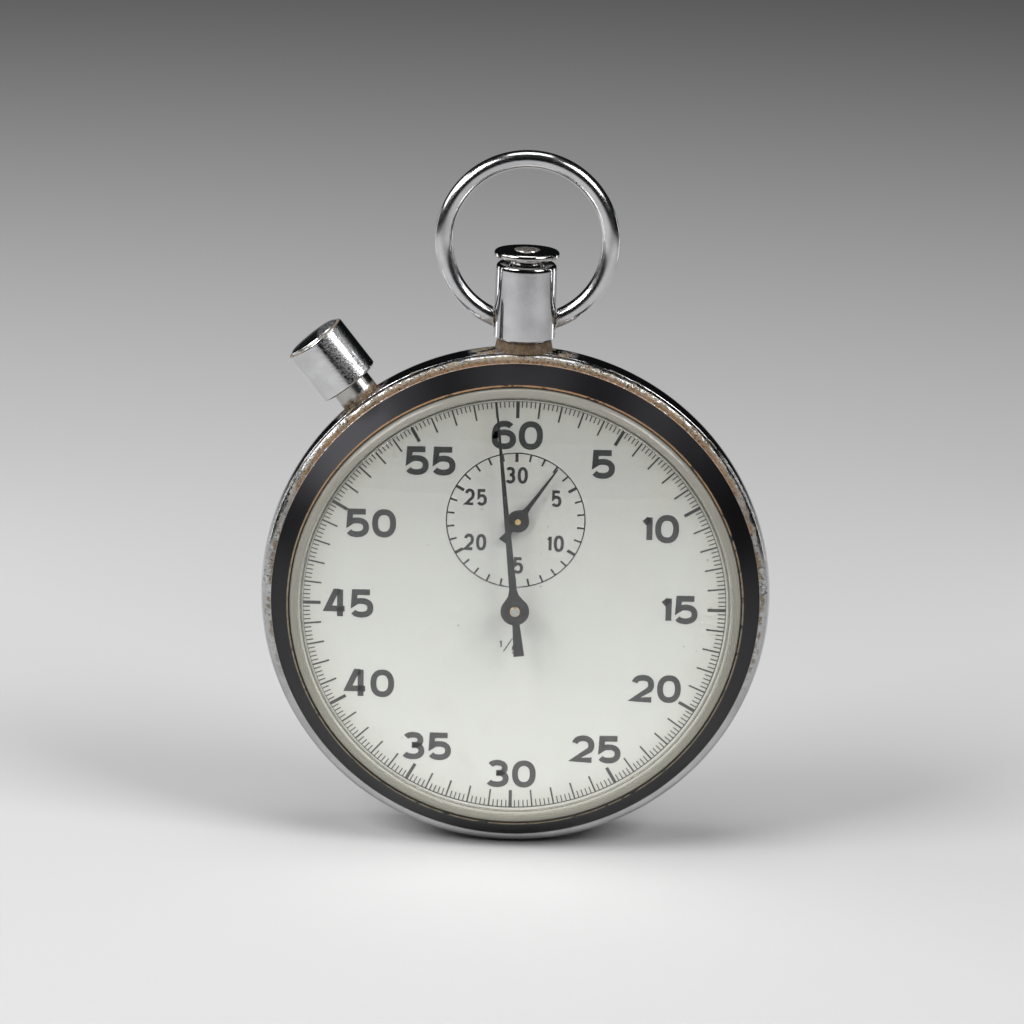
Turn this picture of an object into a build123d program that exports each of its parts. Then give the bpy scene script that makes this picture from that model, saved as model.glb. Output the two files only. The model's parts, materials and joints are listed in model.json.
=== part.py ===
from build123d import *
import os
from math import atan2, cos, degrees, hypot, radians, sin, sqrt

os.makedirs("parts", exist_ok=True)

# A pocket stopwatch standing upright: the dial faces -Y, twelve o'clock is +Z and three o'clock +X.
# The origin is the middle of the flat back. A "height" is a distance from that flat towards the dial,
# and a "place" is an (x, z) pair on the dial, so a place at a height h is the point (x, -h, z).

# ---------------------------------------------------------------- driving dimensions, millimetres
case_radius = 26.4
case_middle_height = 5.8
case_seam_radius = 26.25
case_seam_height = 8.2
seam_gap = 0.05
bezel_seat_radius = 24.2
bezel_seat_height = 9.4
bezel_edge_radius = 25.35
bezel_edge_height = 9.15
bezel_lip_radius = 23.4
bezel_lip_height = 11.5
crystal_radius = 23.3
crystal_wall = 1.15
crystal_top_height = 14.4
crystal_thickness = 1.1
crystal_edge_height = 11.6
crystal_rise_height = 11.75
crystal_inner_height = 11.45
back_flat_radius = 20.5
back_edge_radius = 24.6
back_edge_height = 2.35
back_wall = 0.8
back_skirt_height = 3.1
back_seat_height = 3.2

dial_radius = 22.9
dial_height = 10.5
dial_thickness = 0.4
plate_radius = 21.5
plate_low = 8.4
plate_high = dial_height - dial_thickness
bore_radius = 23.5
ledge_radius = 23.0

stem_height = 6.0
pendant_radius = 3.18
pendant_bottom = 27.4
pendant_top = 35.2
neck_radius = 2.1
neck_inner = 23.9
stem_radius = 0.5
crown_rim_radius = 3.35
crown_rim_thickness = 0.22
crown_radius = 3.0
crown_thickness = 0.68
crown_button_radius = 1.35
crown_travel = 0.6
crown_gap = crown_travel + 0.03
crown_skirt_radius = 1.9
crown_skirt_low = 32.4
bow_radius = 8.53
bow_wire = 0.92
bow_centre = 37.35
bow_pivot = bow_centre - sqrt(bow_radius**2 - pendant_radius**2)
bow_pin_radius = 0.6

pusher_angle = 39.0
pusher_radius = 3.3
pusher_face_radius = 2.85
pusher_stem_radius = 0.8
pusher_stem_end = 33.0
pusher_inner = 28.4
pusher_outer = 34.3
pusher_tube_radius = 2.1
pusher_tip = 19.0

run_gap = 0.03
pivot_radius = 0.25
pivot_low = 4.5
pivot_high = 9.2
pivot_hole_high = 9.3
screw_hole_radius = 0.45
stud_hole_radius = 0.6
dial_foot_radius = 0.45
dial_foot_places = ((-17.5, -6.0), (17.5, -6.0))
bridge_low = 4.4
bridge_high = 5.4
cam_low = 3.0
cam_high = 3.5

# Levels of the wheel train: the lower and upper height of each wheel and pinion.
second_wheel_low = 5.7
second_wheel_high = 6.0
second_pinion_low = 7.0
second_pinion_high = 8.15
sweep_pinion_low = 5.6
sweep_pinion_high = 6.12
sweep_wheel_low = 6.3
sweep_wheel_high = 6.6
escape_pinion_low = 6.2
escape_pinion_high = 6.75
minute_drive_low = 9.3
minute_drive_high = 9.6
minute_wheel_low = 9.66
minute_wheel_high = 9.95

# Wheel train: tooth counts and modules. The sweep arbor turns once a minute.
barrel_teeth = 80
barrel_module = 0.18
second_pinion_teeth = 10
second_teeth = 64
second_module = 0.17
sweep_pinion_teeth = 8
sweep_teeth = 80
sweep_module = 0.13
escape_pinion_teeth = 8
escape_teeth = 15
escape_radius = 3.05
escape_root_radius = 2.45
minute_module = 0.15
minute_drive_teeth = 10
minute_idler_teeth = 50
minute_teeth = 60
winding_module = 0.2
crown_wheel_teeth = 32
ratchet_teeth = 62
face_teeth = 20
face_pinion_teeth = 9

# ---------------------------------------------------------------- places on the dial plan
centre = (0.0, 0.0)
minute_place = (0.0, 9.15)
barrel_place = (8.2, 8.6)
crown_wheel_place = (0.0, 13.2)


def crossing(start, reach_start, end, reach_end, side):
    """Place at given distances from two places, on the left (side 1) or right (side -1) of the line."""
    run_x = end[0] - start[0]
    run_z = end[1] - start[1]
    span = hypot(run_x, run_z)
    along = (reach_start**2 - reach_end**2 + span**2) / (2 * span)
    aside = side * sqrt(reach_start**2 - along**2)
    x = start[0] + (run_x * along - run_z * aside) / span
    z = start[1] + (run_z * along + run_x * aside) / span
    return (x, z)


def polar(start, radius, angle):
    """Place at a radius and an angle (anticlockwise from three o'clock) about another place."""
    return (start[0] + radius * cos(radians(angle)), start[1] + radius * sin(radians(angle)))


def gear_distance(module, teeth_a, teeth_b):
    """Centre distance of two gears in mesh."""
    return module * (teeth_a + teeth_b) / 2


second_place = crossing(
    centre, gear_distance(second_module, second_teeth, sweep_pinion_teeth),
    barrel_place, gear_distance(barrel_module, barrel_teeth, second_pinion_teeth), -1,
)
idler_place = crossing(
    centre, gear_distance(minute_module, minute_drive_teeth, minute_idler_teeth),
    minute_place, gear_distance(minute_module, minute_drive_teeth, minute_teeth), 1,
)
escape_place = polar(centre, gear_distance(sweep_module, sweep_teeth, escape_pinion_teeth), 255)
lever_direction = 215.0
pallet_place = polar(escape_place, 3.7, lever_direction)
balance_place = polar(pallet_place, 4.0, lever_direction)
balance_radius = 5.2
column_place = (-12.0, 9.6)
hammer_place = (-8.6, -2.2)
start_place = (-6.0, 14.6)
brake_place = (-14.5, 3.0)
click_place = (17.2, 11.2)

barrel_bridge_feet = ((17.4, 5.0), (4.2, 18.3), (-3.5, 16.9))
train_bridge_feet = ((11.72, -3.52), (2.6, -12.6), (-11.5, 0.5))
cock_foot = (-0.6, -17.0)
pallet_cock_foot = (-6.3, -3.9)
case_screw_angles = (25, 155, 270)
case_screw_radius = 22.25


# ---------------------------------------------------------------- shared shapes
def layer(height, place=(0.0, 0.0)):
    """Sketch plane parallel to the dial at a height, facing the front."""
    return Plane(origin=(place[0], -height, place[1]), x_dir=(1, 0, 0), z_dir=(0, -1, 0))


def radial_plane(angle, distance):
    """Sketch plane square to a radius of the case, at the stem's height, facing outwards."""
    outward = (-sin(radians(angle)), 0, cos(radians(angle)))
    origin = (outward[0] * distance, -stem_height, outward[2] * distance)
    return Plane(origin=origin, x_dir=(0, -1, 0), z_dir=outward)


def disc(place, radius, low, high, mode=Mode.ADD):
    """Round plate between two heights."""
    with BuildSketch(layer(low, place)) as outline:
        Circle(radius)
    extrude(outline.sketch, amount=high - low, mode=mode)


def bore(place, radius, low, high):
    """Round hole between two heights."""
    disc(place, radius, low, high, mode=Mode.SUBTRACT)


def radial_rod(angle, radius, inner, outer, mode=Mode.ADD):
    """Round rod along a radius of the case at the stem's height."""
    with BuildSketch(radial_plane(angle, inner)) as outline:
        Circle(radius)
    extrude(outline.sketch, amount=outer - inner, mode=mode)


def dome_arc(top, edge_radius, edge_height):
    """Half of a shallow dome's profile: a circular arc from its top on the axis to its edge."""
    drop = top - edge_height
    sphere = (edge_radius**2 + drop**2) / (2 * drop)
    half = edge_radius / 2
    half_height = top - sphere + sqrt(sphere**2 - half**2)
    return ThreePointArc((-top, 0), (-half_height, half), (-edge_height, edge_radius))


def plate(corners, low, high, mode=Mode.ADD):
    """Flat plate whose outline is the tight band around a group of (place, radius) circles."""
    with BuildSketch(layer(low)) as outline:
        for place, radius in corners:
            with Locations(place):
                Circle(radius)
        make_hull()
    extrude(outline.sketch, amount=high - low, mode=mode)


def arm(corners, low, high):
    """Flat lever arm that runs through a chain of (place, radius) circles."""
    for start, end in zip(corners, corners[1:]):
        plate((start, end), low, high)


def gear(place, teeth, module, low, high, turn, pinion=False):
    """Toothed disc. Pinion leaves are thinner than wheel teeth. The turn is one tooth's angle."""
    pitch_radius = module * teeth / 2
    tip_radius = pitch_radius + 0.8 * module
    root_radius = pitch_radius - 1.3 * module
    root_part, tip_part = (0.20, 0.10) if pinion else (0.28, 0.12)
    corners = []
    for tooth in range(teeth):
        middle = turn + 360 * tooth / teeth
        for radius, part in (
            (root_radius, -root_part), (tip_radius, -tip_part),
            (tip_radius, tip_part), (root_radius, root_part),
        ):
            corners.append(polar(centre, radius, middle + part * 360 / teeth))
    with BuildSketch(layer(low, place)) as outline:
        with BuildLine():
            Polyline(*corners, close=True)
        make_face()
    extrude(outline.sketch, amount=high - low)


def mesh_turn(place_a, teeth_a, turn_a, place_b, teeth_b):
    """Turn of gear b that puts its gaps opposite the teeth of gear a."""
    line = degrees(atan2(place_b[1] - place_a[1], place_b[0] - place_a[0]))
    offset = ((line - turn_a) / (360 / teeth_a)) % 1.0
    return line + 180 + (offset - 0.5) * 360 / teeth_b


def crossings(place, hub, rim, arms, width, low, high):
    """Windows cut through a wheel, leaving a hub, a rim and a number of arms."""
    with BuildSketch(layer(low, place)) as windows:
        Circle(rim)
        Circle(hub, mode=Mode.SUBTRACT)
        with PolarLocations(rim / 2, arms):
            Rectangle(rim, width, mode=Mode.SUBTRACT)
    extrude(windows.sketch, amount=high - low, mode=Mode.SUBTRACT)


def screw(place, head_radius, head_low, seat, shank_radius, tip):
    """Slotted cheese-head screw: its head faces the back of the watch."""
    disc(place, head_radius, head_low, seat)
    disc(place, shank_radius, seat, tip)
    with BuildSketch(layer(head_low, place)) as slot:
        Rectangle(2 * head_radius, 0.28 * head_radius, rotation=35)
    extrude(slot.sketch, amount=0.5 * (seat - head_low), mode=Mode.SUBTRACT)


def spiral(place, inner, outer, turns, thickness, low, high):
    """Flat spiral spring of constant pitch."""
    steps = int(16 * turns)
    near_side = []
    far_side = []
    for step in range(steps + 1):
        part = step / steps
        radius = inner + (outer - inner) * part
        near_side.append(polar(centre, radius, 360 * turns * part))
        far_side.append(polar(centre, radius + thickness, 360 * turns * part))
    with BuildSketch(layer(low, place)) as outline:
        with BuildLine():
            Spline(*near_side)
            Spline(*far_side)
            Line(near_side[0], far_side[0])
            Line(near_side[-1], far_side[-1])
        make_face()
    extrude(outline.sketch, amount=high - low)


# ================================================================ case
# ---------------------------------------------------------------- case band
with BuildPart() as case_middle:
    with BuildSketch(Plane.YX) as band:
        with BuildLine():
            Polyline(
                (-back_edge_height, back_edge_radius), (-back_edge_height, crystal_radius),
                (-back_seat_height, crystal_radius), (-back_seat_height, bore_radius),
                (-plate_low, bore_radius), (-plate_low, ledge_radius), (-bezel_seat_height, ledge_radius),
                (-bezel_seat_height, bezel_seat_radius), (-case_seam_height, bezel_seat_radius),
                (-case_seam_height, case_seam_radius),
            )
            ThreePointArc(
                (-case_seam_height, case_seam_radius), (-case_middle_height, case_radius),
                (-back_edge_height, back_edge_radius),
            )
        make_face()
    revolve(axis=Axis.Y)
    radial_rod(0, neck_radius, 20, 30, mode=Mode.SUBTRACT)
    radial_rod(pusher_angle, pusher_tube_radius, 20, 30, mode=Mode.SUBTRACT)
case_middle.part.label = "case_middle"
export_step(case_middle.part, "parts/case_middle.step")

# ---------------------------------------------------------------- bezel, a steep cone with a rounded shoulder
bezel_low = bezel_seat_height + 0.1
bezel_foot = case_seam_height + seam_gap
with BuildPart() as bezel:
    with BuildSketch(Plane.YX) as ring:
        with BuildLine():
            Polyline(
                (-bezel_edge_height, bezel_edge_radius), (-bezel_lip_height + 0.12, bezel_lip_radius + 0.12),
                (-bezel_lip_height, bezel_lip_radius), (-bezel_lip_height, crystal_radius),
                (-bezel_low, crystal_radius), (-bezel_low, bezel_seat_radius),
                (-bezel_foot, bezel_seat_radius), (-bezel_foot, case_seam_radius),
            )
            ThreePointArc(
                (-bezel_foot, case_seam_radius), (-8.88, 26.03), (-bezel_edge_height, bezel_edge_radius),
            )
        make_face()
    revolve(axis=Axis.Y)
bezel.part.label = "bezel"
export_step(bezel.part, "parts/bezel.step")

# ---------------------------------------------------------------- domed crystal with a thick standing edge
with BuildPart() as crystal:
    inner_edge = crystal_radius - crystal_wall
    inner_top = crystal_top_height - crystal_thickness
    with BuildSketch(Plane.YX) as dome:
        with BuildLine():
            dome_arc(crystal_top_height, crystal_radius - 0.1, crystal_rise_height)
            Polyline(
                (-crystal_rise_height, crystal_radius - 0.1), (-crystal_edge_height, crystal_radius),
                (-dial_height, crystal_radius), (-dial_height, inner_edge),
                (-crystal_inner_height, inner_edge),
            )
            dome_arc(inner_top, inner_edge, crystal_inner_height)
            Line((-inner_top, 0), (-crystal_top_height, 0))
        make_face()
    revolve(axis=Axis.Y)
crystal.part.label = "crystal"
export_step(crystal.part, "parts/crystal.step")

# ---------------------------------------------------------------- pressed-in back
back_top = back_edge_height - seam_gap
back_skirt_radius = 22.6
back_inner_height = 2.0
with BuildPart() as case_back:
    with BuildSketch(Plane.YX) as dish:
        with BuildLine():
            Polyline((-back_wall, 0), (0, 0), (0, back_flat_radius))
            ThreePointArc(
                (0, back_flat_radius), (-0.75, 23.1), (-back_top, back_edge_radius),
            )
            Polyline(
                (-back_top, back_edge_radius), (-back_top, crystal_radius),
                (-back_skirt_height, crystal_radius), (-back_skirt_height, back_skirt_radius),
                (-back_inner_height, back_skirt_radius),
            )
            ThreePointArc(
                (-back_inner_height, back_skirt_radius), (-1.15, 21.8), (-back_wall, back_flat_radius),
            )
            Line((-back_wall, back_flat_radius), (-back_wall, 0))
        make_face()
    revolve(axis=Axis.Y)
case_back.part.label = "case_back"
export_step(case_back.part, "parts/case_back.step")

# ---------------------------------------------------------------- pendant with its neck and bow holes
spring_floor = 30.6
with BuildPart() as pendant_tube:
    with BuildSketch(Plane.XY.offset(pendant_bottom).shift_origin((0, -stem_height, pendant_bottom))):
        Circle(pendant_radius)
    extrude(amount=pendant_top - pendant_bottom)
    chamfer(pendant_tube.edges().sort_by(Axis.Z)[-1], length=0.35)
    chamfer(pendant_tube.edges().sort_by(Axis.Z)[0], length=0.15)
    radial_rod(0, neck_radius, neck_inner, pendant_bottom)
    radial_rod(0, stem_radius + run_gap, neck_inner - 1, pendant_top, mode=Mode.SUBTRACT)
    radial_rod(0, crown_skirt_radius + 2 * run_gap, spring_floor, pendant_top, mode=Mode.SUBTRACT)
    for side in (-1, 1):
        with BuildSketch(Plane.YZ.offset(side * 1.9)) as bow_hole:
            with Locations((-stem_height, bow_pivot)):
                Circle(bow_pin_radius + 0.05)
        extrude(bow_hole.sketch, amount=side * 2.0, mode=Mode.SUBTRACT)
pendant_tube.part.label = "pendant_tube"
export_step(pendant_tube.part, "parts/pendant_tube.step")

# ---------------------------------------------------------------- bow, a round ring with two pivot pins
with BuildPart() as bow:
    with BuildSketch(Plane.YZ) as wire:
        with Locations((-stem_height, bow_centre + bow_radius)):
            Circle(bow_wire)
    revolve(axis=Axis((0, -stem_height, bow_centre), (0, -1, 0)))
    opening = 2 * (pendant_radius + 0.05)
    with BuildSketch(Plane.XY.offset(bow_centre - bow_radius - 2)) as gap:
        with Locations((0, -stem_height)):
            Rectangle(opening, 4 * bow_wire)
    extrude(gap.sketch, amount=6, mode=Mode.SUBTRACT)
    for side in (-1, 1):
        with BuildSketch(Plane.YZ.offset(side * 2.05)) as pin:
            with Locations((-stem_height, bow_pivot)):
                Circle(bow_pin_radius)
        extrude(pin.sketch, amount=side * 1.6)
bow.part.label = "bow"
export_step(bow.part, "parts/bow.step")

# ---------------------------------------------------------------- crown, its stem, washer and return spring
crown_low = pendant_top + crown_gap
crown_high = crown_low + crown_thickness
stem_end = crown_low + 0.3
with BuildPart() as crown:
    radial_rod(0, crown_radius, crown_low, crown_high)
    fillet(crown.edges().sort_by(Axis.Z)[-1], radius=0.45)
    radial_rod(0, crown_rim_radius, crown_low, crown_low + crown_rim_thickness)
    radial_rod(0, crown_button_radius, crown_high - 0.1, crown_high + 0.12)
    fillet(crown.edges().sort_by(Axis.Z)[-1], radius=0.1)
    radial_rod(0, crown_skirt_radius, crown_skirt_low, crown_low)
    radial_rod(0, 1.25, crown_skirt_low, crown_low - 0.1, mode=Mode.SUBTRACT)
    radial_rod(0, stem_radius, crown_skirt_low, stem_end, mode=Mode.SUBTRACT)
crown.part.label = "crown"
export_step(crown.part, "parts/crown.step")

stem_tip = 13.9
square_top = 17.1
square_side = 0.7
with BuildPart() as winding_stem:
    radial_rod(0, stem_radius, square_top, stem_end)
    with BuildSketch(radial_plane(0, stem_tip)) as square:
        Rectangle(square_side, square_side)
    extrude(square.sketch, amount=square_top - stem_tip)
winding_stem.part.label = "winding_stem"
export_step(winding_stem.part, "parts/winding_stem.step")

washer_low = crown_low - 0.35
washer_high = crown_low - 0.12
with BuildPart() as crown_washer:
    radial_rod(0, 1.15, washer_low, washer_high)
    radial_rod(0, stem_radius + run_gap, washer_low, washer_high, mode=Mode.SUBTRACT)
crown_washer.part.label = "crown_washer"
export_step(crown_washer.part, "parts/crown_washer.step")

spring_wire = 0.13
with BuildPart() as crown_spring:
    coil_low = spring_floor + spring_wire + 0.02
    coil_high = washer_low - spring_wire - 0.02
    with BuildLine() as coil:
        Helix(pitch=(coil_high - coil_low) / 6, height=coil_high - coil_low, radius=0.86,
              center=(0, -stem_height, coil_low))
    with BuildSketch(Plane(origin=coil.line @ 0, z_dir=coil.line % 0)) as section:
        Circle(spring_wire)
    sweep(section.sketch, path=coil.line)
crown_spring.part.label = "crown_spring"
export_step(crown_spring.part, "parts/crown_spring.step")

# ---------------------------------------------------------------- side pusher
with BuildPart() as pusher_tube:
    radial_rod(pusher_angle, pusher_tube_radius, 24.2, 31.6)
    radial_rod(pusher_angle, pusher_stem_radius + run_gap, 24.0, 31.8, mode=Mode.SUBTRACT)
pusher_tube.part.label = "pusher_tube"
export_step(pusher_tube.part, "parts/pusher_tube.step")

with BuildPart() as pusher_button:
    radial_rod(pusher_angle, pusher_radius, pusher_inner, pusher_outer)
    pusher_axis = Axis((0, 0, 0), radial_plane(pusher_angle, 0).z_dir)
    fillet(pusher_button.edges().sort_by(pusher_axis)[-1], radius=0.28)
    chamfer(pusher_button.edges().sort_by(pusher_axis)[0], length=0.15)
    radial_rod(pusher_angle, pusher_face_radius, pusher_outer - 0.1, pusher_outer + 0.3)
    fillet(pusher_button.edges().sort_by(pusher_axis)[-1], radius=0.28)
    socket = pusher_tube_radius + 2 * run_gap
    radial_rod(pusher_angle, socket, pusher_inner - 0.1, pusher_stem_end, mode=Mode.SUBTRACT)
pusher_button.part.label = "pusher_button"
export_step(pusher_button.part, "parts/pusher_button.step")

with BuildPart() as pusher_stem:
    radial_rod(pusher_angle, pusher_stem_radius, pusher_tip, pusher_stem_end)
pusher_stem.part.label = "pusher_stem"
export_step(pusher_stem.part, "parts/pusher_stem.step")

# ================================================================ dial side
# ---------------------------------------------------------------- dial with two feet
with BuildPart() as dial:
    disc(centre, dial_radius, plate_high, dial_height)
    for foot in dial_foot_places:
        disc(foot, dial_foot_radius, 8.9, plate_high)
    bore(centre, 0.75, plate_high, dial_height)
    bore(minute_place, 0.6, plate_high, dial_height)
dial.part.label = "dial"
export_step(dial.part, "parts/dial.step")

# ---------------------------------------------------------------- hands
sweep_angle = 97.0
minute_angle = 54.8
sweep_length = 21.9
sweep_tail = 4.8
sweep_bend = 2.0
minute_length = 6.8
minute_tail = 2.7
minute_hand_height = 10.85
sweep_root_height = 12.2
sweep_tip_height = 11.15
hand_thickness = 0.15


def hand_plane(height, place, angle):
    """Plane parallel to the dial whose x direction runs along a hand."""
    along = (cos(radians(angle)), 0, sin(radians(angle)))
    return Plane(origin=(place[0], -height, place[1]), x_dir=along, z_dir=(0, -1, 0))


with BuildPart() as seconds_hand:
    blade_plane = hand_plane(0, centre, sweep_angle)
    with BuildSketch(blade_plane.offset(10.9)) as plan:
        with BuildLine():
            Polyline(
                (-sweep_tail, -0.55), (-sweep_tail, 0.55), (-1.6, 0.38),
                (0, 0.6), (2.6, 0.39), (sweep_length, 0.08),
                (sweep_length, -0.08), (2.6, -0.39), (0, -0.6), (-1.6, -0.38), close=True,
            )
        make_face()
    extrude(plan.sketch, amount=2.0)
    with BuildSketch(Plane(origin=(0, 0, 0), x_dir=blade_plane.x_dir, z_dir=blade_plane.y_dir)) as side_view:
        with BuildLine():
            Polyline(
                (-sweep_tail, -sweep_root_height), (sweep_bend, -sweep_root_height),
                (sweep_length, -sweep_tip_height),
                (sweep_length, -sweep_tip_height - hand_thickness),
                (sweep_bend, -sweep_root_height - hand_thickness),
                (-sweep_tail, -sweep_root_height - hand_thickness),
                close=True,
            )
        make_face()
    extrude(side_view.sketch, amount=2.0, both=True, mode=Mode.INTERSECT)
    disc(centre, 1.5, sweep_root_height, sweep_root_height + 0.22)
    disc(centre, 0.75, sweep_root_height - 0.6, sweep_root_height + 0.42)
    bore(centre, 0.45, 11.0, 13.0)
seconds_hand.part.label = "seconds_hand"
export_step(seconds_hand.part, "parts/seconds_hand.step")

with BuildPart() as minute_hand:
    with BuildSketch(hand_plane(minute_hand_height, minute_place, minute_angle)) as plan:
        with BuildLine():
            Polyline(
                (-minute_tail, -0.45), (-minute_tail, 0.45), (0, 0.25), (1.6, 0.22), (minute_length, 0.06),
                (minute_length, -0.06), (1.6, -0.22), (0, -0.25), close=True,
            )
        make_face()
    extrude(plan.sketch, amount=hand_thickness)
    disc(minute_place, 1.15, minute_hand_height, minute_hand_height + 0.25)
    disc(minute_place, 0.5, 10.6, 11.25)
    bore(minute_place, 0.3, 10.0, 11.5)
minute_hand.part.label = "minute_hand"
export_step(minute_hand.part, "parts/minute_hand.step")

# ---------------------------------------------------------------- minute register wheels under the dial
drive_turn = 10.0
idler_turn = mesh_turn(centre, minute_drive_teeth, drive_turn, idler_place, minute_idler_teeth)
idler_pinion_turn = 20.0
minute_turn = mesh_turn(idler_place, minute_drive_teeth, idler_pinion_turn, minute_place, minute_teeth)
recess_floor = 9.2
with BuildPart() as minute_idler_wheel:
    gear(idler_place, minute_idler_teeth, minute_module, minute_drive_low, minute_drive_high, idler_turn)
    crossings(idler_place, 1.1, 3.1, 4, 0.6, minute_drive_low, minute_drive_high)
    gear(
        idler_place, minute_drive_teeth, minute_module, minute_drive_high, minute_wheel_high,
        idler_pinion_turn, pinion=True,
    )
    disc(idler_place, 0.3, 8.5, minute_drive_low)
minute_idler_wheel.part.label = "minute_idler_wheel"
export_step(minute_idler_wheel.part, "parts/minute_idler_wheel.step")

minute_arbor_low = 2.8
with BuildPart() as minute_wheel:
    gear(minute_place, minute_teeth, minute_module, minute_wheel_low, minute_wheel_high, minute_turn)
    crossings(minute_place, 1.1, 3.8, 4, 0.7, minute_wheel_low, minute_wheel_high)
    disc(minute_place, 0.4, minute_arbor_low, 10.3)
    disc(minute_place, 0.3, 10.3, 11.2)
minute_wheel.part.label = "minute_wheel"
export_step(minute_wheel.part, "parts/minute_wheel.step")

# ================================================================ plates and bridges
stud_high = 9.4
screw_tip_high = 9.2
# ---------------------------------------------------------------- main plate with the stem blocks
block_low = bridge_high + 0.05
with BuildPart() as mainplate:
    disc(centre, plate_radius, plate_low, plate_high)
    disc(minute_place, 4.95, recess_floor, plate_high, mode=Mode.SUBTRACT)
    disc(idler_place, 4.15, recess_floor, plate_high, mode=Mode.SUBTRACT)
    disc(centre, 1.2, recess_floor, plate_high, mode=Mode.SUBTRACT)
    bore(centre, 0.5 + run_gap, plate_low, recess_floor)
    bore(minute_place, 0.4 + run_gap, plate_low, recess_floor)
    bore(idler_place, 0.3 + run_gap, plate_low, recess_floor)
    for pivot_place in (second_place, escape_place, pallet_place, balance_place):
        bore(pivot_place, pivot_radius + run_gap, plate_low, pivot_hole_high)
    bore(barrel_place, 0.6 + run_gap, plate_low, pivot_hole_high)
    for foot in barrel_bridge_feet + train_bridge_feet + (cock_foot, pallet_cock_foot):
        bore(foot, screw_hole_radius, plate_low, pivot_hole_high)
    for foot in dial_foot_places:
        bore(foot, dial_foot_radius + run_gap, plate_low, plate_high)
    for stud_place in (column_place, start_place, brake_place):
        bore(stud_place, stud_hole_radius, plate_low, stud_high)
    for low_end, high_end in ((14.2, 15.05), (16.5, 19.2)):
        with BuildSketch(Plane.XY.offset(low_end)) as block:
            with Locations((0, -(block_low + plate_low) / 2)):
                Rectangle(3.6, plate_low - block_low)
            with Locations((0, -stem_height)):
                Circle(0.5 + run_gap, mode=Mode.SUBTRACT)
            with Locations((0, -(stem_height + block_low) / 2)):
                Rectangle(1.0 + 2 * run_gap, stem_height - block_low, mode=Mode.SUBTRACT)
        extrude(block.sketch, amount=high_end - low_end)
mainplate.part.label = "mainplate"
export_step(mainplate.part, "parts/mainplate.step")

# ---------------------------------------------------------------- ring that seats the movement in the case
with BuildPart() as movement_ring:
    disc(centre, ledge_radius, plate_low, plate_high)
    bore(centre, plate_radius, plate_low, plate_high)
    for angle in case_screw_angles:
        bore(polar(centre, case_screw_radius, angle), 0.4, plate_low, 9.6)
movement_ring.part.label = "movement_ring"
export_step(movement_ring.part, "parts/movement_ring.step")

with BuildPart() as case_screws:
    for angle in case_screw_angles:
        screw(polar(centre, case_screw_radius, angle), 1.05, 7.8, plate_low, 0.4, 9.5)
case_screws.part.label = "case_screws"
export_step(case_screws.part, "parts/case_screws.step")

# ---------------------------------------------------------------- barrel bridge
face_inner = 2.45
face_outer = 3.0
foot_radius = 1.4
with BuildPart() as barrel_bridge:
    plate(
        [(foot, 1.6) for foot in barrel_bridge_feet]
        + [(barrel_place, 5.2), (minute_place, 1.7), (click_place, 1.6)],
        bridge_low, bridge_high,
    )
    for foot in barrel_bridge_feet:
        disc(foot, foot_radius, bridge_high, plate_low)
    for foot in barrel_bridge_feet:
        bore(foot, screw_hole_radius, bridge_low, plate_low)
    with BuildSketch(layer(bridge_low, crown_wheel_place)) as groove:
        Circle(face_outer + 0.1)
        Circle(face_inner - 0.1, mode=Mode.SUBTRACT)
    extrude(groove.sketch, amount=0.65, mode=Mode.SUBTRACT)
    with BuildSketch(layer(bridge_low)) as pinion_window:
        with Locations((0, 15.8)):
            Rectangle(3.2, 1.5)
    extrude(pinion_window.sketch, amount=bridge_high - bridge_low, mode=Mode.SUBTRACT)
    bore(crown_wheel_place, 0.5, bridge_low, 5.2)
    bore(minute_place, 0.4 + run_gap, bridge_low, bridge_high)
    bore(barrel_place, 0.8 + run_gap, bridge_low, bridge_high)
    bore(click_place, 0.5, bridge_low, bridge_high)
barrel_bridge.part.label = "barrel_bridge"
export_step(barrel_bridge.part, "parts/barrel_bridge.step")

# ---------------------------------------------------------------- train bridge with three jewel seats
jewel_radius = 0.9
with BuildPart() as train_bridge:
    plate(
        [(foot, 1.6) for foot in train_bridge_feet]
        + [(second_place, 1.8), (escape_place, 1.5), (hammer_place, 1.5)],
        bridge_low, bridge_high,
    )
    bore(balance_place, balance_radius + 0.9, bridge_low, bridge_high)
    for foot in train_bridge_feet:
        disc(foot, foot_radius, bridge_high, plate_low)
    for foot in train_bridge_feet:
        bore(foot, screw_hole_radius, bridge_low, plate_low)
    for jewel_place in (second_place, escape_place):
        bore(jewel_place, jewel_radius, bridge_low, bridge_high)
    bore(centre, 1.2, bridge_low, bridge_high)
    bore(hammer_place, 0.6, bridge_low, bridge_high)
train_bridge.part.label = "train_bridge"
export_step(train_bridge.part, "parts/train_bridge.step")

# ---------------------------------------------------------------- balance cock with boss and spring stud
cock_low = 4.0
cock_high = 4.9
stud_place = polar(balance_place, 3.1, 90)
with BuildPart() as balance_cock:
    plate([(cock_foot, 2.3), (balance_place, 2.4)], cock_low, cock_high)
    plate([(balance_place, 2.0), (stud_place, 0.6)], cock_low, cock_high)
    disc(cock_foot, 2.0, cock_high, plate_low)
    disc(balance_place, 1.0, 3.55, cock_low)
    disc(stud_place, 0.35, cock_high, 5.5)
    bore(cock_foot, screw_hole_radius, cock_low, plate_low)
    bore(balance_place, pivot_radius + run_gap, 3.9, cock_high)
balance_cock.part.label = "balance_cock"
export_step(balance_cock.part, "parts/balance_cock.step")

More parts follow.
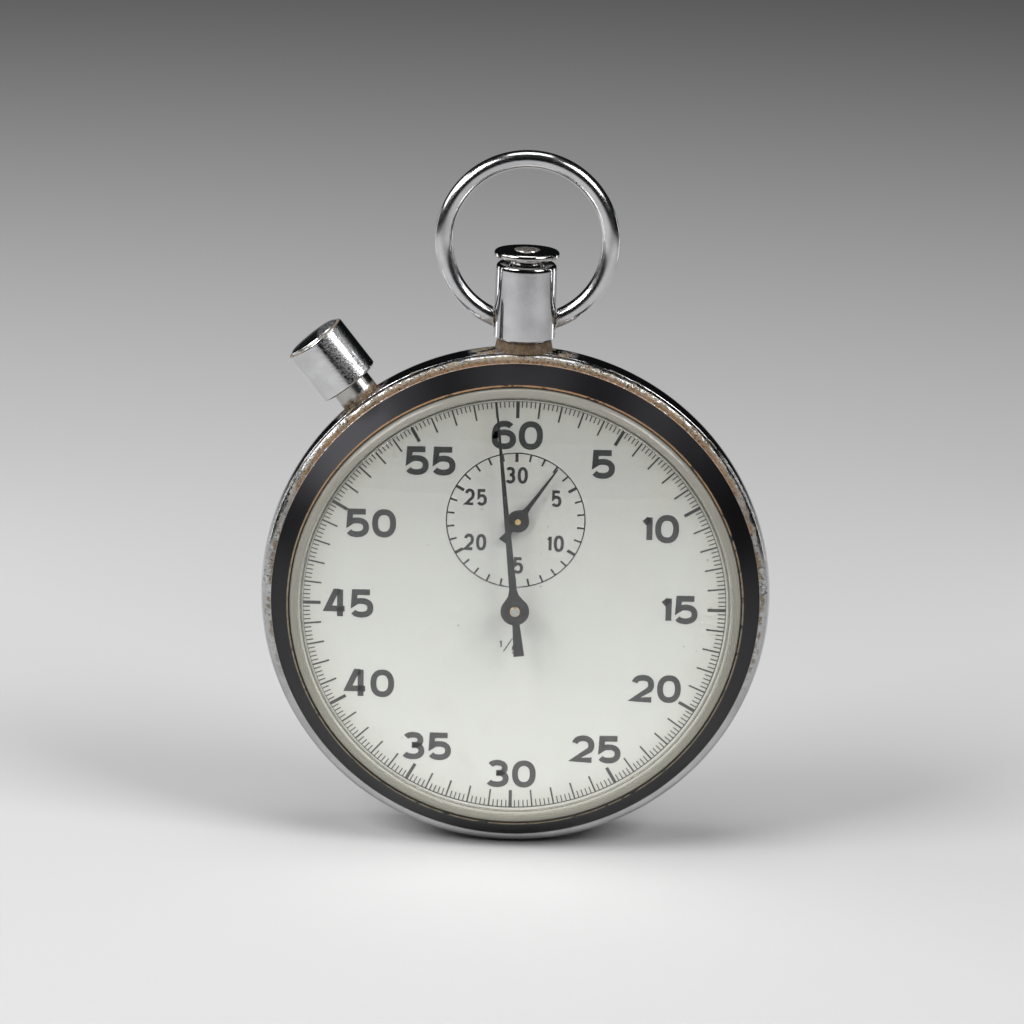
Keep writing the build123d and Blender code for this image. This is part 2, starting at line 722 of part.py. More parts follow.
pallet_cock_low = 6.75
pallet_cock_high = 7.15
with BuildPart() as pallet_cock:
    plate([(pallet_cock_foot, 1.1), (pallet_place, 0.9)], pallet_cock_low, pallet_cock_high)
    disc(pallet_cock_foot, 1.0, pallet_cock_high, plate_low)
    bore(pallet_cock_foot, 0.45, pallet_cock_low, plate_low)
    bore(pallet_place, pivot_radius + run_gap, pallet_cock_low, pallet_cock_high)
pallet_cock.part.label = "pallet_cock"
export_step(pallet_cock.part, "parts/pallet_cock.step")

with BuildPart() as bridge_screws:
    for foot in barrel_bridge_feet + train_bridge_feet:
        screw(foot, 1.05, 3.8, bridge_low, 0.45, screw_tip_high)
bridge_screws.part.label = "bridge_screws"
export_step(bridge_screws.part, "parts/bridge_screws.step")

with BuildPart() as cock_screws:
    screw(cock_foot, 1.2, 3.4, cock_low, 0.45, screw_tip_high)
    screw(pallet_cock_foot, 0.8, 6.35, pallet_cock_low, 0.45, screw_tip_high)
cock_screws.part.label = "cock_screws"
export_step(cock_screws.part, "parts/cock_screws.step")

with BuildPart() as jewels:
    disc(centre, 1.2, bridge_low, bridge_high)
    bore(centre, 0.5 + run_gap, bridge_low, bridge_high)
    for jewel_place in (second_place, escape_place):
        disc(jewel_place, jewel_radius, bridge_low, bridge_high)
        bore(jewel_place, pivot_radius + run_gap, bridge_low, bridge_high)
jewels.part.label = "jewels"
export_step(jewels.part, "parts/jewels.step")

# ================================================================ winding work and power
# ---------------------------------------------------------------- winding pinion and crown wheel
pinion_low = 15.15
pinion_high = 16.4
with BuildPart() as winding_pinion:
    pinion_corners = []
    for tooth in range(face_pinion_teeth):
        middle = 90 + (tooth + 0.5) * 360 / face_pinion_teeth
        for radius, part in ((0.98, -0.2), (1.38, -0.1), (1.38, 0.1), (0.98, 0.2)):
            pinion_corners.append(polar(centre, radius, middle + part * 360 / face_pinion_teeth))
    with BuildSketch(Plane(origin=(0, -stem_height, pinion_low), x_dir=(1, 0, 0), z_dir=(0, 0, 1))):
        with BuildLine():
            Polyline(*pinion_corners, close=True)
        make_face()
        Rectangle(square_side + 2 * run_gap, square_side + 2 * run_gap, mode=Mode.SUBTRACT)
    extrude(amount=pinion_high - pinion_low)
winding_pinion.part.label = "winding_pinion"
export_step(winding_pinion.part, "parts/winding_pinion.step")

ratchet_low = 3.8
ratchet_high = 4.3
arbor_radius = 0.8
crown_wheel_turn = 4.0
ratchet_turn = mesh_turn(
    crown_wheel_place, crown_wheel_teeth, crown_wheel_turn, barrel_place, ratchet_teeth,
)
with BuildPart() as crown_wheel:
    gear(crown_wheel_place, crown_wheel_teeth, winding_module, ratchet_low, ratchet_high, crown_wheel_turn)
    for tooth in range(face_teeth):
        angle = radians(360 * tooth / face_teeth)
        outward = (sin(angle), 0, cos(angle))
        across = (cos(angle), 0, -sin(angle))
        root = (
            crown_wheel_place[0] + face_inner * outward[0], -ratchet_high,
            crown_wheel_place[1] + face_inner * outward[2],
        )
        with BuildSketch(Plane(origin=root, x_dir=across, z_dir=outward)) as face_tooth:
            with BuildLine():
                Polyline((-0.2, -0.1), (0.2, -0.1), (0.09, 0.62), (-0.09, 0.62), close=True)
            make_face()
        extrude(face_tooth.sketch, amount=face_outer - face_inner)
    bore(crown_wheel_place, 0.9 + run_gap, ratchet_low, ratchet_high)
crown_wheel.part.label = "crown_wheel"
export_step(crown_wheel.part, "parts/crown_wheel.step")

with BuildPart() as crown_wheel_core:
    disc(crown_wheel_place, 1.3, ratchet_low - 0.22, ratchet_low - 0.02)
    disc(crown_wheel_place, 0.9, ratchet_low - 0.1, bridge_low)
    disc(crown_wheel_place, 0.5, bridge_low, 5.1)
    with BuildSketch(layer(ratchet_low - 0.22, crown_wheel_place)) as slot:
        Rectangle(2.6, 0.3)
    extrude(slot.sketch, amount=0.15, mode=Mode.SUBTRACT)
crown_wheel_core.part.label = "crown_wheel_core"
export_step(crown_wheel_core.part, "parts/crown_wheel_core.step")

with BuildPart() as ratchet_wheel:
    gear(barrel_place, ratchet_teeth, winding_module, ratchet_low, ratchet_high, ratchet_turn)
    bore(barrel_place, arbor_radius, ratchet_low, ratchet_high)
ratchet_wheel.part.label = "ratchet_wheel"
export_step(ratchet_wheel.part, "parts/ratchet_wheel.step")

barrel_low = 7.0
barrel_high = 8.2
with BuildPart() as barrel_arbor:
    disc(barrel_place, arbor_radius, ratchet_low, barrel_low)
    disc(barrel_place, 1.5, 7.05, 7.85)
    disc(barrel_place, arbor_radius, barrel_low, barrel_high)
    disc(barrel_place, 0.6, barrel_high, pivot_high)
    bore(barrel_place, 0.4, ratchet_low, 5.0)
barrel_arbor.part.label = "barrel_arbor"
export_step(barrel_arbor.part, "parts/barrel_arbor.step")

with BuildPart() as ratchet_screw:
    screw(barrel_place, 1.5, 3.4, ratchet_low, 0.4, 4.9)
ratchet_screw.part.label = "ratchet_screw"
export_step(ratchet_screw.part, "parts/ratchet_screw.step")

# ---------------------------------------------------------------- click and its spring
with BuildPart() as click:
    click_tip = polar(barrel_place, winding_module * ratchet_teeth / 2 + 0.75, 40)
    arm(((click_place, 1.1), (click_tip, 0.42)), ratchet_low, ratchet_high)
    bore(click_place, 0.5 + run_gap, ratchet_low, ratchet_high)
click.part.label = "click"
export_step(click.part, "parts/click.step")

with BuildPart() as click_screw:
    screw(click_place, 0.9, 3.4, ratchet_low - 0.02, 0.5, bridge_high)
click_screw.part.label = "click_screw"
export_step(click_screw.part, "parts/click_screw.step")

# ---------------------------------------------------------------- barrel, its cover and the mainspring
barrel_turn = 0.0
cover_low = 6.8
barrel_floor = 7.9
barrel_outer = 6.9
barrel_inner = 6.4
with BuildPart() as barrel:
    disc(barrel_place, barrel_outer, barrel_low, barrel_high)
    gear(barrel_place, barrel_teeth, barrel_module, 7.6, 8.1, barrel_turn)
    bore(barrel_place, barrel_inner, barrel_low, barrel_floor)
    bore(barrel_place, arbor_radius + run_gap, barrel_floor, barrel_high)
barrel.part.label = "barrel"
export_step(barrel.part, "parts/barrel.step")

with BuildPart() as barrel_cover:
    disc(barrel_place, barrel_outer, cover_low, barrel_low)
    bore(barrel_place, arbor_radius + run_gap, cover_low, barrel_low)
barrel_cover.part.label = "barrel_cover"
export_step(barrel_cover.part, "parts/barrel_cover.step")

with BuildPart() as mainspring:
    spiral(barrel_place, 1.75, 6.1, 8, 0.16, 7.1, 7.8)
mainspring.part.label = "mainspring"
export_step(mainspring.part, "parts/mainspring.step")

# ================================================================ going train
# ---------------------------------------------------------------- second wheel, driven by the barrel
second_pinion_turn = mesh_turn(
    barrel_place, barrel_teeth, barrel_turn, second_place, second_pinion_teeth,
)
second_turn = 1.0
with BuildPart() as second_wheel:
    gear(second_place, second_teeth, second_module, second_wheel_low, second_wheel_high, second_turn)
    crossings(second_place, 1.2, 4.3, 4, 0.7, second_wheel_low, second_wheel_high)
    gear(
        second_place, second_pinion_teeth, barrel_module, second_pinion_low, second_pinion_high,
        second_pinion_turn, pinion=True,
    )
    disc(second_place, 0.55, 5.55, second_pinion_low)
    disc(second_place, pivot_radius, pivot_low, pivot_high)
second_wheel.part.label = "second_wheel"
export_step(second_wheel.part, "parts/second_wheel.step")

# ---------------------------------------------------------------- sweep arbor and wheel, one turn a minute
sweep_pinion_turn = mesh_turn(
    second_place, second_teeth, second_turn, centre, sweep_pinion_teeth,
)
sweep_turn = 2.0
with BuildPart() as sweep_arbor:
    gear(
        centre, sweep_pinion_teeth, sweep_module, sweep_pinion_low, sweep_pinion_high,
        sweep_pinion_turn, pinion=True,
    )
    disc(centre, 0.5, cam_low - 0.2, sweep_pinion_low)
    disc(centre, 0.5, sweep_pinion_high, minute_drive_low)
    gear(
        centre, minute_drive_teeth, minute_module, minute_drive_low, minute_drive_high,
        drive_turn, pinion=True,
    )
    disc(centre, 0.5, minute_drive_high, 11.6)
    disc(centre, 0.45, 11.6, 12.6)
sweep_arbor.part.label = "sweep_arbor"
export_step(sweep_arbor.part, "parts/sweep_arbor.step")

with BuildPart() as sweep_wheel:
    gear(centre, sweep_teeth, sweep_module, sweep_wheel_low, sweep_wheel_high, sweep_turn)
    crossings(centre, 1.3, 4.5, 5, 0.7, sweep_wheel_low, sweep_wheel_high)
    disc(centre, 0.95, 6.15, 6.8)
    bore(centre, 0.5, 6.1, 6.9)
sweep_wheel.part.label = "sweep_wheel"
export_step(sweep_wheel.part, "parts/sweep_wheel.step")

# ---------------------------------------------------------------- escape wheel, fifteen slanted teeth
escape_pinion_turn = mesh_turn(centre, sweep_teeth, sweep_turn, escape_place, escape_pinion_teeth)
escape_low = 7.5
escape_high = 7.8
with BuildPart() as escape_wheel:
    escape_corners = []
    for tooth in range(escape_teeth):
        for radius, shift in (
            (escape_root_radius, 0), (escape_radius, 6), (escape_radius, 9), (escape_root_radius, 8),
        ):
            escape_corners.append(polar(centre, radius, 360 * tooth / escape_teeth + shift))
    with BuildSketch(layer(escape_low, escape_place)) as outline:
        with BuildLine():
            Polyline(*escape_corners, close=True)
        make_face()
    extrude(outline.sketch, amount=escape_high - escape_low)
    crossings(escape_place, 0.8, 2.0, 4, 0.35, escape_low, escape_high)
    gear(
        escape_place, escape_pinion_teeth, sweep_module, escape_pinion_low, escape_pinion_high,
        escape_pinion_turn, pinion=True,
    )
    disc(escape_place, 0.4, escape_pinion_high, escape_low)
    disc(escape_place, 0.4, escape_high, 8.3)
    disc(escape_place, pivot_radius, pivot_low, escape_pinion_low)
    disc(escape_place, pivot_radius, 8.3, pivot_high)
escape_wheel.part.label = "escape_wheel"
export_step(escape_wheel.part, "parts/escape_wheel.step")

# ---------------------------------------------------------------- pallet fork
with BuildPart() as pallet_fork:
    for side in (-1, 1):
        stone = polar(polar(pallet_place, -0.62, lever_direction), side * 1.75, lever_direction + 90)
        arm(((pallet_place, 0.42), (stone, 0.24)), escape_low, escape_high)
    fork_end = polar(pallet_place, 2.75, lever_direction)
    arm(((pallet_place, 0.42), (fork_end, 0.22)), escape_low, escape_high)
    disc(pallet_place, 0.4, 7.25, 8.3)
    disc(pallet_place, pivot_radius, 6.8, pivot_high)
pallet_fork.part.label = "pallet_fork"
export_step(pallet_fork.part, "parts/pallet_fork.step")

# ---------------------------------------------------------------- balance, staff, hairspring and regulator
rim_low = 5.9
rim_high = 6.5
with BuildPart() as balance_wheel:
    disc(balance_place, balance_radius, rim_low, rim_high)
    crossings(balance_place, 1.0, balance_radius - 0.6, 3, 0.8, rim_low, rim_high)
    bore(balance_place, 0.5, rim_low, rim_high)
balance_wheel.part.label = "balance_wheel"
export_step(balance_wheel.part, "parts/balance_wheel.step")

with BuildPart() as balance_staff:
    disc(balance_place, 0.6, 5.1, 5.5)
    disc(balance_place, 0.5, 5.0, 8.2)
    disc(balance_place, 0.92, 7.05, 7.25)
    disc(polar(balance_place, 0.72, lever_direction + 180), 0.14, 7.25, 7.8)
    disc(balance_place, pivot_radius, 4.0, 9.2)
balance_staff.part.label = "balance_staff"
export_step(balance_staff.part, "parts/balance_staff.step")

with BuildPart() as hairspring:
    spiral(balance_place, 0.66, 2.69, 8.25, 0.06, 5.2, 5.4)
hairspring.part.label = "hairspring"
export_step(hairspring.part, "parts/hairspring.step")

regulator_low = 3.62
regulator_high = 3.97
with BuildPart() as regulator:
    regulator_tip = polar(balance_place, 4.6, 150)
    arm(((balance_place, 1.5), (regulator_tip, 0.25)), regulator_low, regulator_high)
    bore(balance_place, 1.0 + run_gap, regulator_low, regulator_high)
regulator.part.label = "regulator"
export_step(regulator.part, "parts/regulator.step")


# ================================================================ stopwatch work
# ---------------------------------------------------------------- heart cams
def heart(place, lobe, low, high, turn):
    """Heart cam: its radius grows evenly from the low point to the lobe on either side."""
    corners = []
    low_radius = 0.45 * lobe
    for step in range(1, 24):
        angle = 360 * step / 24
        part = abs(abs(angle - 180) / 180 - 1)
        corners.append(polar(centre, low_radius + (lobe - low_radius) * part, turn + angle))
    with BuildSketch(layer(low, place)) as outline:
        with BuildLine():
            Spline(*corners)
            Polyline(corners[-1], polar(centre, low_radius, turn), corners[0])
        make_face()
    extrude(outline.sketch, amount=high - low)


with BuildPart() as seconds_heart:
    heart(centre, 2.0, cam_low, cam_high, 200)
    disc(centre, 0.85, cam_high, 4.2)
    bore(centre, 0.5, cam_low, 4.3)
seconds_heart.part.label = "seconds_heart"
export_step(seconds_heart.part, "parts/seconds_heart.step")

with BuildPart() as minute_heart:
    heart(minute_place, 1.8, cam_low, cam_high, 240)
    disc(minute_place, 0.58, cam_high, 4.2)
    bore(minute_place, 0.4, cam_low, 4.3)
minute_heart.part.label = "minute_heart"
export_step(minute_heart.part, "parts/minute_heart.step")

# ---------------------------------------------------------------- reset hammer, pushed by the side pusher
with BuildPart() as reset_hammer:
    lug_radius = pusher_tip - 0.15
    lug_place = polar(centre, lug_radius - 0.6, 90 + pusher_angle)
    arm(
        ((hammer_place, 1.3), ((-5.6, 3.0), 0.75), ((-5.4, 9.15), 0.75), (lug_place, 0.7)),
        cam_low, cam_high,
    )
    arm((((-5.6, 1.0), 0.6), ((-3.5, 0.0), 0.6)), cam_low, cam_high)
    arm((((-5.4, 9.15), 0.6), ((-4.6, 9.15), 0.6)), cam_low, cam_high)
    with BuildSketch(radial_plane(pusher_angle, lug_radius - 1.2)) as lug:
        with Locations((-1.05, 0)):
            Rectangle(3.9, 2.2)
    extrude(lug.sketch, amount=1.2)
    bore(hammer_place, 0.6 + run_gap, cam_low, cam_high)
reset_hammer.part.label = "reset_hammer"
export_step(reset_hammer.part, "parts/reset_hammer.step")

# ---------------------------------------------------------------- start lever, pushed by the winding stem
lever_low = 6.95
lever_high = 7.5
stem_lug_low = 5.55
with BuildPart() as start_lever:
    arm(
        (((-10.6, 12.4), 0.4), (start_place, 1.1), ((-3.0, 13.1), 0.5), ((0.0, 13.2), 0.5)),
        lever_low, lever_high,
    )
    with BuildSketch(layer(stem_lug_low)) as stem_lug:
        with Locations((0, 13.3)):
            Rectangle(1.2, 1.0)
    extrude(stem_lug.sketch, amount=lever_high - stem_lug_low)
    bore(start_place, 0.6 + run_gap, lever_low, lever_high)
start_lever.part.label = "start_lever"
export_step(start_lever.part, "parts/start_lever.step")

# ---------------------------------------------------------------- column wheel: twelve teeth, six columns
column_teeth = 12
column_low = 5.4
with BuildPart() as column_wheel:
    ratchet_corners = []
    for tooth in range(column_teeth):
        for radius, shift in ((1.95, 0), (2.5, 2), (1.95, 26)):
            ratchet_corners.append(polar(centre, radius, 360 / column_teeth * tooth + shift))
    with BuildSketch(layer(lever_low, column_place)) as outline:
        with BuildLine():
            Polyline(*ratchet_corners, close=True)
        make_face()
    extrude(outline.sketch, amount=lever_high - lever_low)
    with BuildSketch(layer(column_low, column_place)) as columns:
        Circle(1.9)
        Circle(1.1, mode=Mode.SUBTRACT)
        with PolarLocations(1.5, 6):
            Rectangle(1.4, 0.85, mode=Mode.SUBTRACT)
    extrude(columns.sketch, amount=lever_low - column_low)
    bore(column_place, 0.6 + run_gap, lever_low, lever_high)
column_wheel.part.label = "column_wheel"
export_step(column_wheel.part, "parts/column_wheel.step")

# ---------------------------------------------------------------- brake lever from the columns to the balance
with BuildPart() as brake_lever:
    brake_tip = polar(balance_place, balance_radius + 0.85, 148)
    arm(
        (((-10.2, 7.6), 0.35), (brake_place, 1.1), ((-14.6, -3.5), 0.55), (brake_tip, 0.5)),
        rim_low, rim_high,
    )
    bore(brake_place, 0.6 + run_gap, rim_low, rim_high)
brake_lever.part.label = "brake_lever"
export_step(brake_lever.part, "parts/brake_lever.step")

# ---------------------------------------------------------------- shouldered studs that carry the levers
with BuildPart() as lever_studs:
    for place, low, high in (
        (hammer_place, cam_low - 0.05, bridge_high),
        (start_place, lever_low - 0.05, stud_high),
        (column_place, lever_low - 0.05, stud_high),
        (brake_place, rim_low - 0.05, stud_high),
    ):
        disc(place, 0.6, low, high)
        disc(place, 0.95, low - 0.25, low)
    for place, low, high in (
        (hammer_place, cam_high + 0.05, bridge_low),
        (start_place, lever_high + 0.05, plate_low),
        (column_place, lever_high + 0.05, plate_low),
        (brake_place, rim_high + 0.05, plate_low),
    ):
        disc(place, 1.0, low, high)
lever_studs.part.label = "lever_studs"
export_step(lever_studs.part, "parts/lever_studs.step")

# ---------------------------------------------------------------- flat springs
with BuildPart() as column_spring:
    arm((((-17.3, 8.0), 1.0), ((-16.6, 11.0), 0.3), ((-15.1, 11.6), 0.22)), lever_low, lever_high)
    disc((-17.3, 8.0), 1.0, lever_high, plate_low)
column_spring.part.label = "column_spring"
export_step(column_spring.part, "parts/column_spring.step")

with BuildPart() as brake_spring:
    arm((((-17.6, -2.0), 1.0), ((-16.6, -5.5), 0.25), ((-14.4, -7.6), 0.22)), rim_low, rim_high)
    disc((-17.6, -2.0), 1.0, rim_high, plate_low)
brake_spring.part.label = "brake_spring"
export_step(brake_spring.part, "parts/brake_spring.step")
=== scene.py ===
import json
import math
import random

import bmesh
import bpy
from mathutils import Matrix, Vector


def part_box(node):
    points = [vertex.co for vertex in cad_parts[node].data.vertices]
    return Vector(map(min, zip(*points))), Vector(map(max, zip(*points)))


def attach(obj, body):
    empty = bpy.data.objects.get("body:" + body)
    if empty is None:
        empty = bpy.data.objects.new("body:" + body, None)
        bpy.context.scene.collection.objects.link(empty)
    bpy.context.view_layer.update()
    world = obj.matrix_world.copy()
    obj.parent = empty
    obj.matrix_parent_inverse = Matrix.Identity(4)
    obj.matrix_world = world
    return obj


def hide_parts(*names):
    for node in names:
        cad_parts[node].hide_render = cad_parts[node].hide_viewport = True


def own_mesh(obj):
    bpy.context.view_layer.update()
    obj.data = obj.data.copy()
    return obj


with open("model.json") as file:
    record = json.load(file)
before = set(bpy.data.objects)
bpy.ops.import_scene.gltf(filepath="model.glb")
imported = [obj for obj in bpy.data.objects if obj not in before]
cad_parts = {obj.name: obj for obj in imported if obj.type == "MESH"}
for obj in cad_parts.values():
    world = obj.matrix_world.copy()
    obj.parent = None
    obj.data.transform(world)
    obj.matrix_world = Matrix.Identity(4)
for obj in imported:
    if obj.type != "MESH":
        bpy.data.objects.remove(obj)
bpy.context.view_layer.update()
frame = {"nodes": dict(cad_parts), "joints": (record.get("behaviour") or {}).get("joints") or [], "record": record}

# Lengths below are in millimetres in the frame's axes, and MM turns them into Blender's metres.
# A height is a distance from the flat back towards the dial (-Y). A place is an (x, z) pair.
MM = 0.001
TAU = 2 * math.pi
random.seed(12)


# ---------------------------------------------------------------- sizes read from the frame
def box_mm(node):
    """Lowest and highest corners of a CAD node, in millimetres."""
    low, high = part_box(node)
    return low / MM, high / MM


def joint_place(name):
    """The pivot of a joint, in millimetres."""
    for joint in frame["joints"]:
        if joint["name"] == name:
            return Vector(joint["pos_m"]) / MM


case_low, case_high = box_mm("case_middle")
bezel_low, bezel_high = box_mm("bezel")
crystal_low, crystal_high = box_mm("crystal")
back_low, back_high = box_mm("case_back")
dial_low, dial_high = box_mm("dial")
pendant_low, pendant_high = box_mm("pendant_tube")
crown_low, crown_high = box_mm("crown")
bow_low, bow_high = box_mm("bow")

CASE_RADIUS = case_high.x
BACK_EDGE = -case_high.y
SEAM = -bezel_high.y
BEZEL_FRONT = -bezel_low.y
CRYSTAL_RADIUS = crystal_high.x
CRYSTAL_TOP = -crystal_low.y
DIAL_RADIUS = dial_high.x
DIAL_FACE = -dial_low.y
STEM_HEIGHT = -joint_place("bow_swing").y
BEZEL_FOOT_RADIUS = bezel_high.x
BOW_PIVOT = joint_place("bow_swing").z
BOW_RADIUS = bow_high.x
PENDANT_RADIUS = pendant_high.x
PENDANT_TOP = pendant_high.z
NECK_TOP = 27.4
CROWN_TOP = crown_high.z
CROWN_RADIUS = crown_high.x
MINUTE_Z = joint_place("minute_turn").z
FLOOR_Z = case_low.z

pusher_axis = None
for joint in frame["joints"]:
    if joint["name"] == "pusher_press":
        pusher_axis = -Vector(joint["axis"]).normalized()


def reach(node, direction):
    """Nearest and farthest distance of a CAD node along a direction, in millimetres."""
    spans = [v.co.dot(direction) / MM for v in frame["nodes"][node].data.vertices]
    return min(spans), max(spans)


PUSHER_NEAR, PUSHER_FAR = reach("pusher_button", pusher_axis)
TUBE_NEAR, TUBE_FAR = reach("pusher_tube", pusher_axis)


# ---------------------------------------------------------------- profiles and meshes
def arc_through(start, middle, end, steps):
    """Points of the circle through three points, from start to end."""
    ax, ay = start
    bx, by = middle
    cx, cy = end
    d = 2 * (ax * (by - cy) + bx * (cy - ay) + cx * (ay - by))
    ux = ((ax**2 + ay**2) * (by - cy) + (bx**2 + by**2) * (cy - ay) + (cx**2 + cy**2) * (ay - by)) / d
    uy = ((ax**2 + ay**2) * (cx - bx) + (bx**2 + by**2) * (ax - cx) + (cx**2 + cy**2) * (bx - ax)) / d
    radius = math.hypot(ax - ux, ay - uy)
    first = math.atan2(ay - uy, ax - ux)
    via = (math.atan2(by - uy, bx - ux) - first) % TAU
    last = (math.atan2(cy - uy, cx - ux) - first) % TAU
    if via > last:
        last -= TAU
    turns = [first + last * i / steps for i in range(steps + 1)]
    return [(ux + radius * math.cos(t), uy + radius * math.sin(t)) for t in turns]


def soften(points, radius, steps=4, closed=True):
    """Rounds the sharp corners of an outline with small curves of about the given radius."""
    result = []
    count = len(points)
    for i, point in enumerate(points):
        if not closed and i in (0, count - 1):
            result.append(point)
            continue
        here = Vector(point)
        before = Vector(points[i - 1]) - here
        after = Vector(points[(i + 1) % count]) - here
        if before.length < 1e-6 or after.length < 1e-6 or before.angle(after) > math.radians(155):
            result.append(point)
            continue
        cut = min(radius, 0.45 * before.length, 0.45 * after.length)
        start = here + before.normalized() * cut
        end = here + after.normalized() * cut
        for step in range(steps + 1):
            t = step / steps
            spot = start * (1 - t) ** 2 + here * 2 * t * (1 - t) + end * t**2
            result.append((spot.x, spot.y))
    return result


def new_mesh(name, corners, faces, smooth=True):
    """Object from corners in millimetres and faces, with flat areas kept flat by weighted normals."""
    mesh = bpy.data.meshes.new(name)
    mesh.from_pydata([Vector(c) * MM for c in corners], [], faces)
    mesh.validate()
    piece = bpy.data.objects.new(name, mesh)
    bpy.context.scene.collection.objects.link(piece)
    if smooth:
        mesh.shade_smooth()
        mesh.set_sharp_from_angle(angle=math.radians(42))
        weighted = piece.modifiers.new("weighted_normals", "WEIGHTED_NORMAL")
        weighted.keep_sharp = True
    return piece


def lathe(name, profile, origin, axis, segments=256):
    """Closed body turned about an axis from (radius, distance along the axis) points."""
    axis = Vector(axis).normalized()
    side = axis.orthogonal().normalized()
    other = axis.cross(side)
    origin = Vector(origin)
    corners = []
    rings = []
    for radius, distance in profile:
        if radius < 1e-5:
            rings.append([len(corners)] * segments)
            corners.append(origin + axis * distance)
            continue
        rings.append(list(range(len(corners), len(corners) + segments)))
        for i in range(segments):
            turn = TAU * i / segments
            out = side * math.cos(turn) + other * math.sin(turn)
            corners.append(origin + axis * distance + out * radius)
    faces = []
    on_axis = profile[0][0] < 1e-5 and profile[-1][0] < 1e-5
    pairs = list(zip(rings, rings[1:]))
    if not on_axis:
        pairs.append((rings[-1], rings[0]))
    for lower, upper in pairs:
        for i in range(segments):
            j = (i + 1) % segments
            ring = [lower[i], lower[j], upper[j], upper[i]]
            face = [c for k, c in enumerate(ring) if c != ring[k - 1]]
            if len(face) >= 3:
                faces.append(face)
    piece = new_mesh(name, corners, faces)
    fix_normals(piece)
    return piece


def fix_normals(piece):
    """Turns every face outwards."""
    work = bmesh.new()
    work.from_mesh(piece.data)
    bmesh.ops.recalc_face_normals(work, faces=work.faces)
    work.to_mesh(piece.data)
    work.free()


def front_lathe(name, profile, place=(0.0, 0.0), segments=256):
    """Body turned about an axis square to the dial, from (radius, height) points."""
    return lathe(name, profile, (place[0], 0, place[1]), (0, -1, 0), segments)


def flat_piece(name, outline, low, high, lift=None):
    """Closed plate over an (x, z) outline between two heights. lift adds a height at each place."""
    corners = []
    count = len(outline)
    for level in (low, high):
        for x, z in outline:
            rise = lift(x, z) if lift else 0.0
            corners.append((x, -(level + rise), z))
    faces = [list(range(count)), list(range(count, 2 * count))]
    for i in range(count):
        j = (i + 1) % count
        faces.append([i, j, count + j, count + i])
    piece = new_mesh(name, corners, faces)
    fix_normals(piece)
    return piece


def ribbon(path, width, closed=False):
    """Left and right edges of a stroke of a given width along a path, with mitred corners."""
    left = []
    right = []
    count = len(path)
    for i in range(count):
        here = Vector(path[i])
        before = Vector(path[i - 1]) if (i > 0 or closed) else None
        after = Vector(path[(i + 1) % count]) if (i < count - 1 or closed) else None
        into = (here - before).normalized() if before is not None else (after - here).normalized()
        out = (after - here).normalized() if after is not None else into
        normal_in = Vector((-into.y, into.x))
        normal_out = Vector((-out.y, out.x))
        mitre = (normal_in + normal_out).normalized()
        reach_out = (width / 2) / max(0.45, mitre.dot(normal_out))
        left.append(here + mitre * reach_out)
        right.append(here - mitre * reach_out)
    return left, right


class Print:
    """Collects thin raised ink strokes into one mesh, turned and shifted slightly against the case."""

    def __init__(self):
        self.corners = []
        self.faces = []

    def stroke(self, path, width, closed=False):
        """Adds one stroke along a path of places."""
        left, right = ribbon(path, width, closed)
        start = len(self.corners)
        count = len(path)
        c, n = math.cos(PRINT_TURN), math.sin(PRINT_TURN)
        for level in (INK_LOW, INK_HIGH):
            for side in (left, right):
                for spot in side:
                    x = spot.x * c - spot.y * n + PRINT_SHIFT
                    self.corners.append((x, -level, spot.x * n + spot.y * c))
        low_left, low_right, high_left, high_right = (start + k * count for k in range(4))
        steps = count if closed else count - 1
        for i in range(steps):
            j = (i + 1) % count
            self.faces.append([high_left + i, high_left + j, high_right + j, high_right + i])
            self.faces.append([low_left + i, low_right + i, low_right + j, low_left + j])
            self.faces.append([low_left + i, low_left + j, high_left + j, high_left + i])
            self.faces.append([low_right + i, high_right + i, high_right + j, low_right + j])
        if not closed:
            for i in (0, count - 1):
                self.faces.append([low_left + i, high_left + i, high_right + i, low_right + i])

    def build(self, name):
        """The finished mesh."""
        piece = new_mesh(name, self.corners, self.faces, smooth=False)
        fix_normals(piece)
        return piece


PRINT_TURN = math.radians(0.8)
PRINT_SHIFT = -0.1
INK_LOW = DIAL_FACE - 0.01
INK_HIGH = DIAL_FACE + 0.02


def oval(centre_x, centre_y, half_x, half_y, first, last, power=2.3, steps=20):
    """Points of a squarish oval between two angles in degrees."""
    points = []
    for i in range(steps + 1):
        turn = math.radians(first + (last - first) * i / steps)
        c, s = math.cos(turn), math.sin(turn)
        x = math.copysign(abs(c) ** (2 / power), c)
        y = math.copysign(abs(s) ** (2 / power), s)
        points.append((centre_x + half_x * x, centre_y + half_y * y))
    return points


